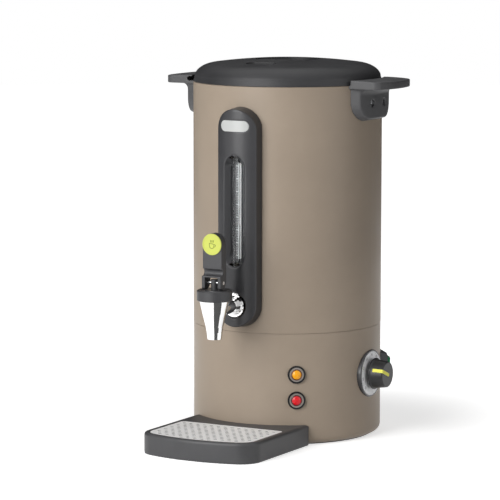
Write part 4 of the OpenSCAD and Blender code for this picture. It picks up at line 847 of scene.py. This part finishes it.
def lens_shade_rims():
    """A dark rim round the foot of each indicator lens, painted shade for the shade in the lamp's recess."""
    inset = 0.0003
    thick = 0.00075
    stand = BODY_RADIUS + 0.0021
    rims = []
    for node, material in (("amber_lens", "amber_rim"), ("red_lens", "red_rim")):
        low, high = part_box(node)
        bench = start_bench("urn_" + material)
        radius = bench.size("Radius", 0.005)
        bead = bench.size("Bead", 0.0005)
        ring = bench.node("GeometryNodeCurvePrimitiveCircle", {"Resolution": 48, "Radius": radius})
        profile = bench.node("GeometryNodeCurvePrimitiveCircle", {"Resolution": 10, "Radius": bead})
        tube = bench.node("GeometryNodeCurveToMesh", {"Curve": ring.outputs["Curve"],
                                                      "Profile Curve": profile.outputs["Curve"]})
        bench.end(tube.outputs["Mesh"])
        half = (high.z - low.z) / 2
        obj = bench.run(node + "_rim", bpy.data.meshes.new("rim"), material,
                        {"Radius": half - inset, "Bead": thick})
        out = Vector((math.sin(LIGHT_ANGLE), -math.cos(LIGHT_ANGLE), 0))
        spot = out * stand + Vector((0, 0, (low.z + high.z) / 2))
        obj.data.transform(Matrix.Translation(spot) @ out.to_track_quat("Z", "Y").to_matrix().to_4x4())
        rims.append((obj, node))
    return rims


# ---- Studio ----

def shown_to_eye(tree, low, high):
    """A strength that is low for diffuse light and high for the camera, reflections and glass."""
    path = tree.nodes.new("ShaderNodeLightPath")
    total = path.outputs["Is Camera Ray"]
    for name in ("Is Glossy Ray", "Is Transmission Ray"):
        pick = tree.nodes.new("ShaderNodeMath")
        pick.operation = "MAXIMUM"
        tree.links.new(total, pick.inputs[0])
        tree.links.new(path.outputs[name], pick.inputs[1])
        total = pick.outputs[0]
    span = tree.nodes.new("ShaderNodeMapRange")
    span.inputs["To Min"].default_value = low
    span.inputs["To Max"].default_value = high
    tree.links.new(total, span.inputs["Value"])
    return span.outputs["Result"]


def set_room(studio):
    world = bpy.data.worlds.new("urn_room")
    world.use_nodes = True
    bpy.context.scene.world = world
    tree = world.node_tree
    back = tree.nodes["Background"]
    back.inputs["Color"].default_value = (1, 1, 1, 1)
    tree.links.new(shown_to_eye(tree, studio.ambient, 1.0), back.inputs["Strength"])


def set_floor(studio):
    shell = bmesh.new()
    bmesh.ops.create_circle(shell, cap_ends=True, segments=96, radius=6.0)
    mesh = bpy.data.meshes.new("floor")
    shell.to_mesh(mesh)
    shell.free()
    material = bpy.data.materials.new("urn_floor")
    material.use_nodes = True
    tree = material.node_tree
    tree.nodes.clear()
    paper = tree.nodes.new("ShaderNodeBsdfDiffuse")
    paper.inputs["Color"].default_value = (studio.floor_tone,) * 3 + (1.0,)
    glow = tree.nodes.new("ShaderNodeEmission")
    both = tree.nodes.new("ShaderNodeAddShader")
    out = tree.nodes.new("ShaderNodeOutputMaterial")
    # the glow grows with the distance from the urn, so the floor ends in plain white
    place = tree.nodes.new("ShaderNodeTexCoord")
    away = tree.nodes.new("ShaderNodeVectorMath")
    away.operation = "LENGTH"
    rise = tree.nodes.new("ShaderNodeMapRange")
    rise.interpolation_type = "SMOOTHSTEP"
    for key, value in (("From Min", 0.17), ("From Max", studio.floor_reach), ("To Min", studio.floor_lift),
                       ("To Max", 1.0)):
        rise.inputs[key].default_value = value
    strength = tree.nodes.new("ShaderNodeMath")
    strength.operation = "MULTIPLY"
    tree.links.new(place.outputs["Object"], away.inputs[0])
    tree.links.new(away.outputs["Value"], rise.inputs["Value"])
    tree.links.new(rise.outputs["Result"], strength.inputs[0])
    tree.links.new(shown_to_eye(tree, 0.0, 1.0), strength.inputs[1])
    tree.links.new(strength.outputs[0], glow.inputs["Strength"])
    tree.links.new(paper.outputs[0], both.inputs[0])
    tree.links.new(glow.outputs[0], both.inputs[1])
    tree.links.new(both.outputs[0], out.inputs["Surface"])
    mesh.materials.append(material)
    obj = bpy.data.objects.new("floor", mesh)
    bpy.context.scene.collection.objects.link(obj)


def add_light(name, power, size, spot, aim):
    data = bpy.data.lights.new(name, "AREA")
    data.shape = "RECTANGLE"
    data.size, data.size_y = size
    data.energy = power
    obj = bpy.data.objects.new(name, data)
    obj.location = spot
    obj.rotation_euler = (Vector(aim) - Vector(spot)).to_track_quat("-Z", "Y").to_euler()
    bpy.context.scene.collection.objects.link(obj)


def from_camera(studio, right, near, up):
    """A point given as the camera sees it: to its right, towards it, and up from the floor."""
    turn = Matrix.Rotation(studio.azimuth, 3, "Z")
    return turn @ Vector((right, -near, up))


def add_screen(name, tone, places):
    """A dark screen that only reflections see: a ribbon through pairs of lower and upper points."""
    material = bpy.data.materials.new(name)
    material.use_nodes = True
    shader = material.node_tree.nodes["Principled BSDF"]
    shader.inputs["Base Color"].default_value = (tone, tone, tone, 1)
    shader.inputs["Roughness"].default_value = 0.9
    shader.inputs["Specular IOR Level"].default_value = 0.0
    shell = bmesh.new()
    pairs = [(shell.verts.new(low), shell.verts.new(high)) for low, high in places]
    for one, two in zip(pairs, pairs[1:]):
        shell.faces.new((one[0], two[0], two[1], one[1]))
    mesh = bpy.data.meshes.new(name)
    shell.to_mesh(mesh)
    shell.free()
    mesh.materials.append(material)
    obj = bpy.data.objects.new(name, mesh)
    bpy.context.scene.collection.objects.link(obj)
    obj.visible_camera = obj.visible_diffuse = obj.visible_shadow = obj.visible_transmission = False


def set_screens(studio):
    # round the urn's far side, so its edges and flat tops stay dark
    radius = 2.2
    height = Vector((0, 0, 2.4))
    turns = [math.radians(a) for a in range(-90, 91, 10)]
    ring = [from_camera(studio, radius * math.sin(a), -radius * math.cos(a), 0.0) for a in turns]
    add_screen("screen_back", 0.03, [(spot, spot + height) for spot in ring])
    # a strip on the floor towards the camera, for the dark stripe in the spout
    strip = [(from_camera(studio, 0.19, near, 0.002), from_camera(studio, -0.11, near, 0.002))
             for near in (0.28, 2.6)]
    add_screen("screen_floor", 0.16, strip)


def set_lights(studio):
    middle = (0, -0.02, 0.22)
    # name, power, width and height, then its place as the camera sees it: right, near, up
    for name, power, size, place in (("key", studio.key_power, (1.1, 1.3), (-1.12, 1.35, 0.85)),
                                     ("top", studio.top_power, (1.4, 1.4), (-0.2, 0.1, 1.7)),
                                     ("fill", studio.fill_power, (0.7, 1.2), (1.5, 0.9, 0.6))):
        add_light(name, power, size, from_camera(studio, *place), middle)


def set_dial_spot(studio):
    """A narrow light on the dial, from the right."""
    data = bpy.data.lights.new("dial_spot", "SPOT")
    data.energy = studio.spot_power
    data.spot_size = 0.046  # just wider than the dial at this distance
    data.spot_blend = 0.5
    data.shadow_soft_size = 0.12
    obj = bpy.data.objects.new("dial_spot", data)
    obj.location = from_camera(studio, 1.35, 1.05, 0.45)
    dial = Vector((BODY_RADIUS + 0.004, 0, 0.075))
    obj.rotation_euler = (dial - obj.location).to_track_quat("-Z", "Y").to_euler()
    bpy.context.scene.collection.objects.link(obj)


def set_camera(studio):
    turn = Matrix.Rotation(studio.azimuth, 3, "Z")
    forward = turn @ Vector((math.sin(studio.yaw) * math.cos(studio.pitch),
                             math.cos(studio.yaw) * math.cos(studio.pitch), -math.sin(studio.pitch)))
    right = turn @ Vector((math.cos(studio.yaw), -math.sin(studio.yaw), 0))
    up = right.cross(forward)
    across = math.cos(studio.roll) * right + math.sin(studio.roll) * up
    above = -math.sin(studio.roll) * right + math.cos(studio.roll) * up
    data = bpy.data.cameras.new("camera")
    data.lens = studio.lens
    data.sensor_width = 36
    data.clip_end = 60
    obj = bpy.data.objects.new("camera", data)
    pose = Matrix((across, above, -forward)).transposed().to_4x4()
    pose.translation = turn @ Vector((0, -studio.distance, studio.height))
    obj.matrix_world = pose
    bpy.context.scene.collection.objects.link(obj)
    bpy.context.scene.camera = obj


# ---- The add-on's panel and its registration ----

GROUPS = {
    "urn_colours": UrnColours, "urn_mouldings": UrnMouldings, "urn_dial": UrnDial, "urn_gauge": UrnGauge,
    "urn_grid": UrnGrid, "urn_studio": UrnStudio,
}
STEPS = (URN_OT_finishes, URN_OT_handles, URN_OT_panel, URN_OT_tap, URN_OT_gauge, URN_OT_dial, URN_OT_lights,
         URN_OT_tray, URN_OT_studio)


class URN_PT_steps(bpy.types.Panel):
    """Lists the steps that dress the urn"""
    bl_idname = "URN_PT_steps"
    bl_label = "Hot water urn"
    bl_space_type = "VIEW_3D"
    bl_region_type = "UI"
    bl_category = "Urn"

    def draw(self, context):
        for step in STEPS:
            self.layout.operator(step.bl_idname)


CLASSES = (*GROUPS.values(), *STEPS, URN_PT_steps)


def register():
    for made in CLASSES:
        bpy.utils.register_class(made)
    for name, group in GROUPS.items():
        setattr(bpy.types.Scene, name, PointerProperty(type=group))


def unregister():
    for name in GROUPS:
        delattr(bpy.types.Scene, name)
    for made in reversed(CLASSES):
        bpy.utils.unregister_class(made)


def main():
    register()
    bpy.ops.urn.finishes()
    bpy.ops.urn.handles()
    bpy.ops.urn.panel()
    bpy.ops.urn.tap()
    bpy.ops.urn.gauge()
    bpy.ops.urn.dial()
    bpy.ops.urn.lights()
    bpy.ops.urn.tray()
    bpy.ops.urn.studio()


if __name__ == "__main__":
    main()
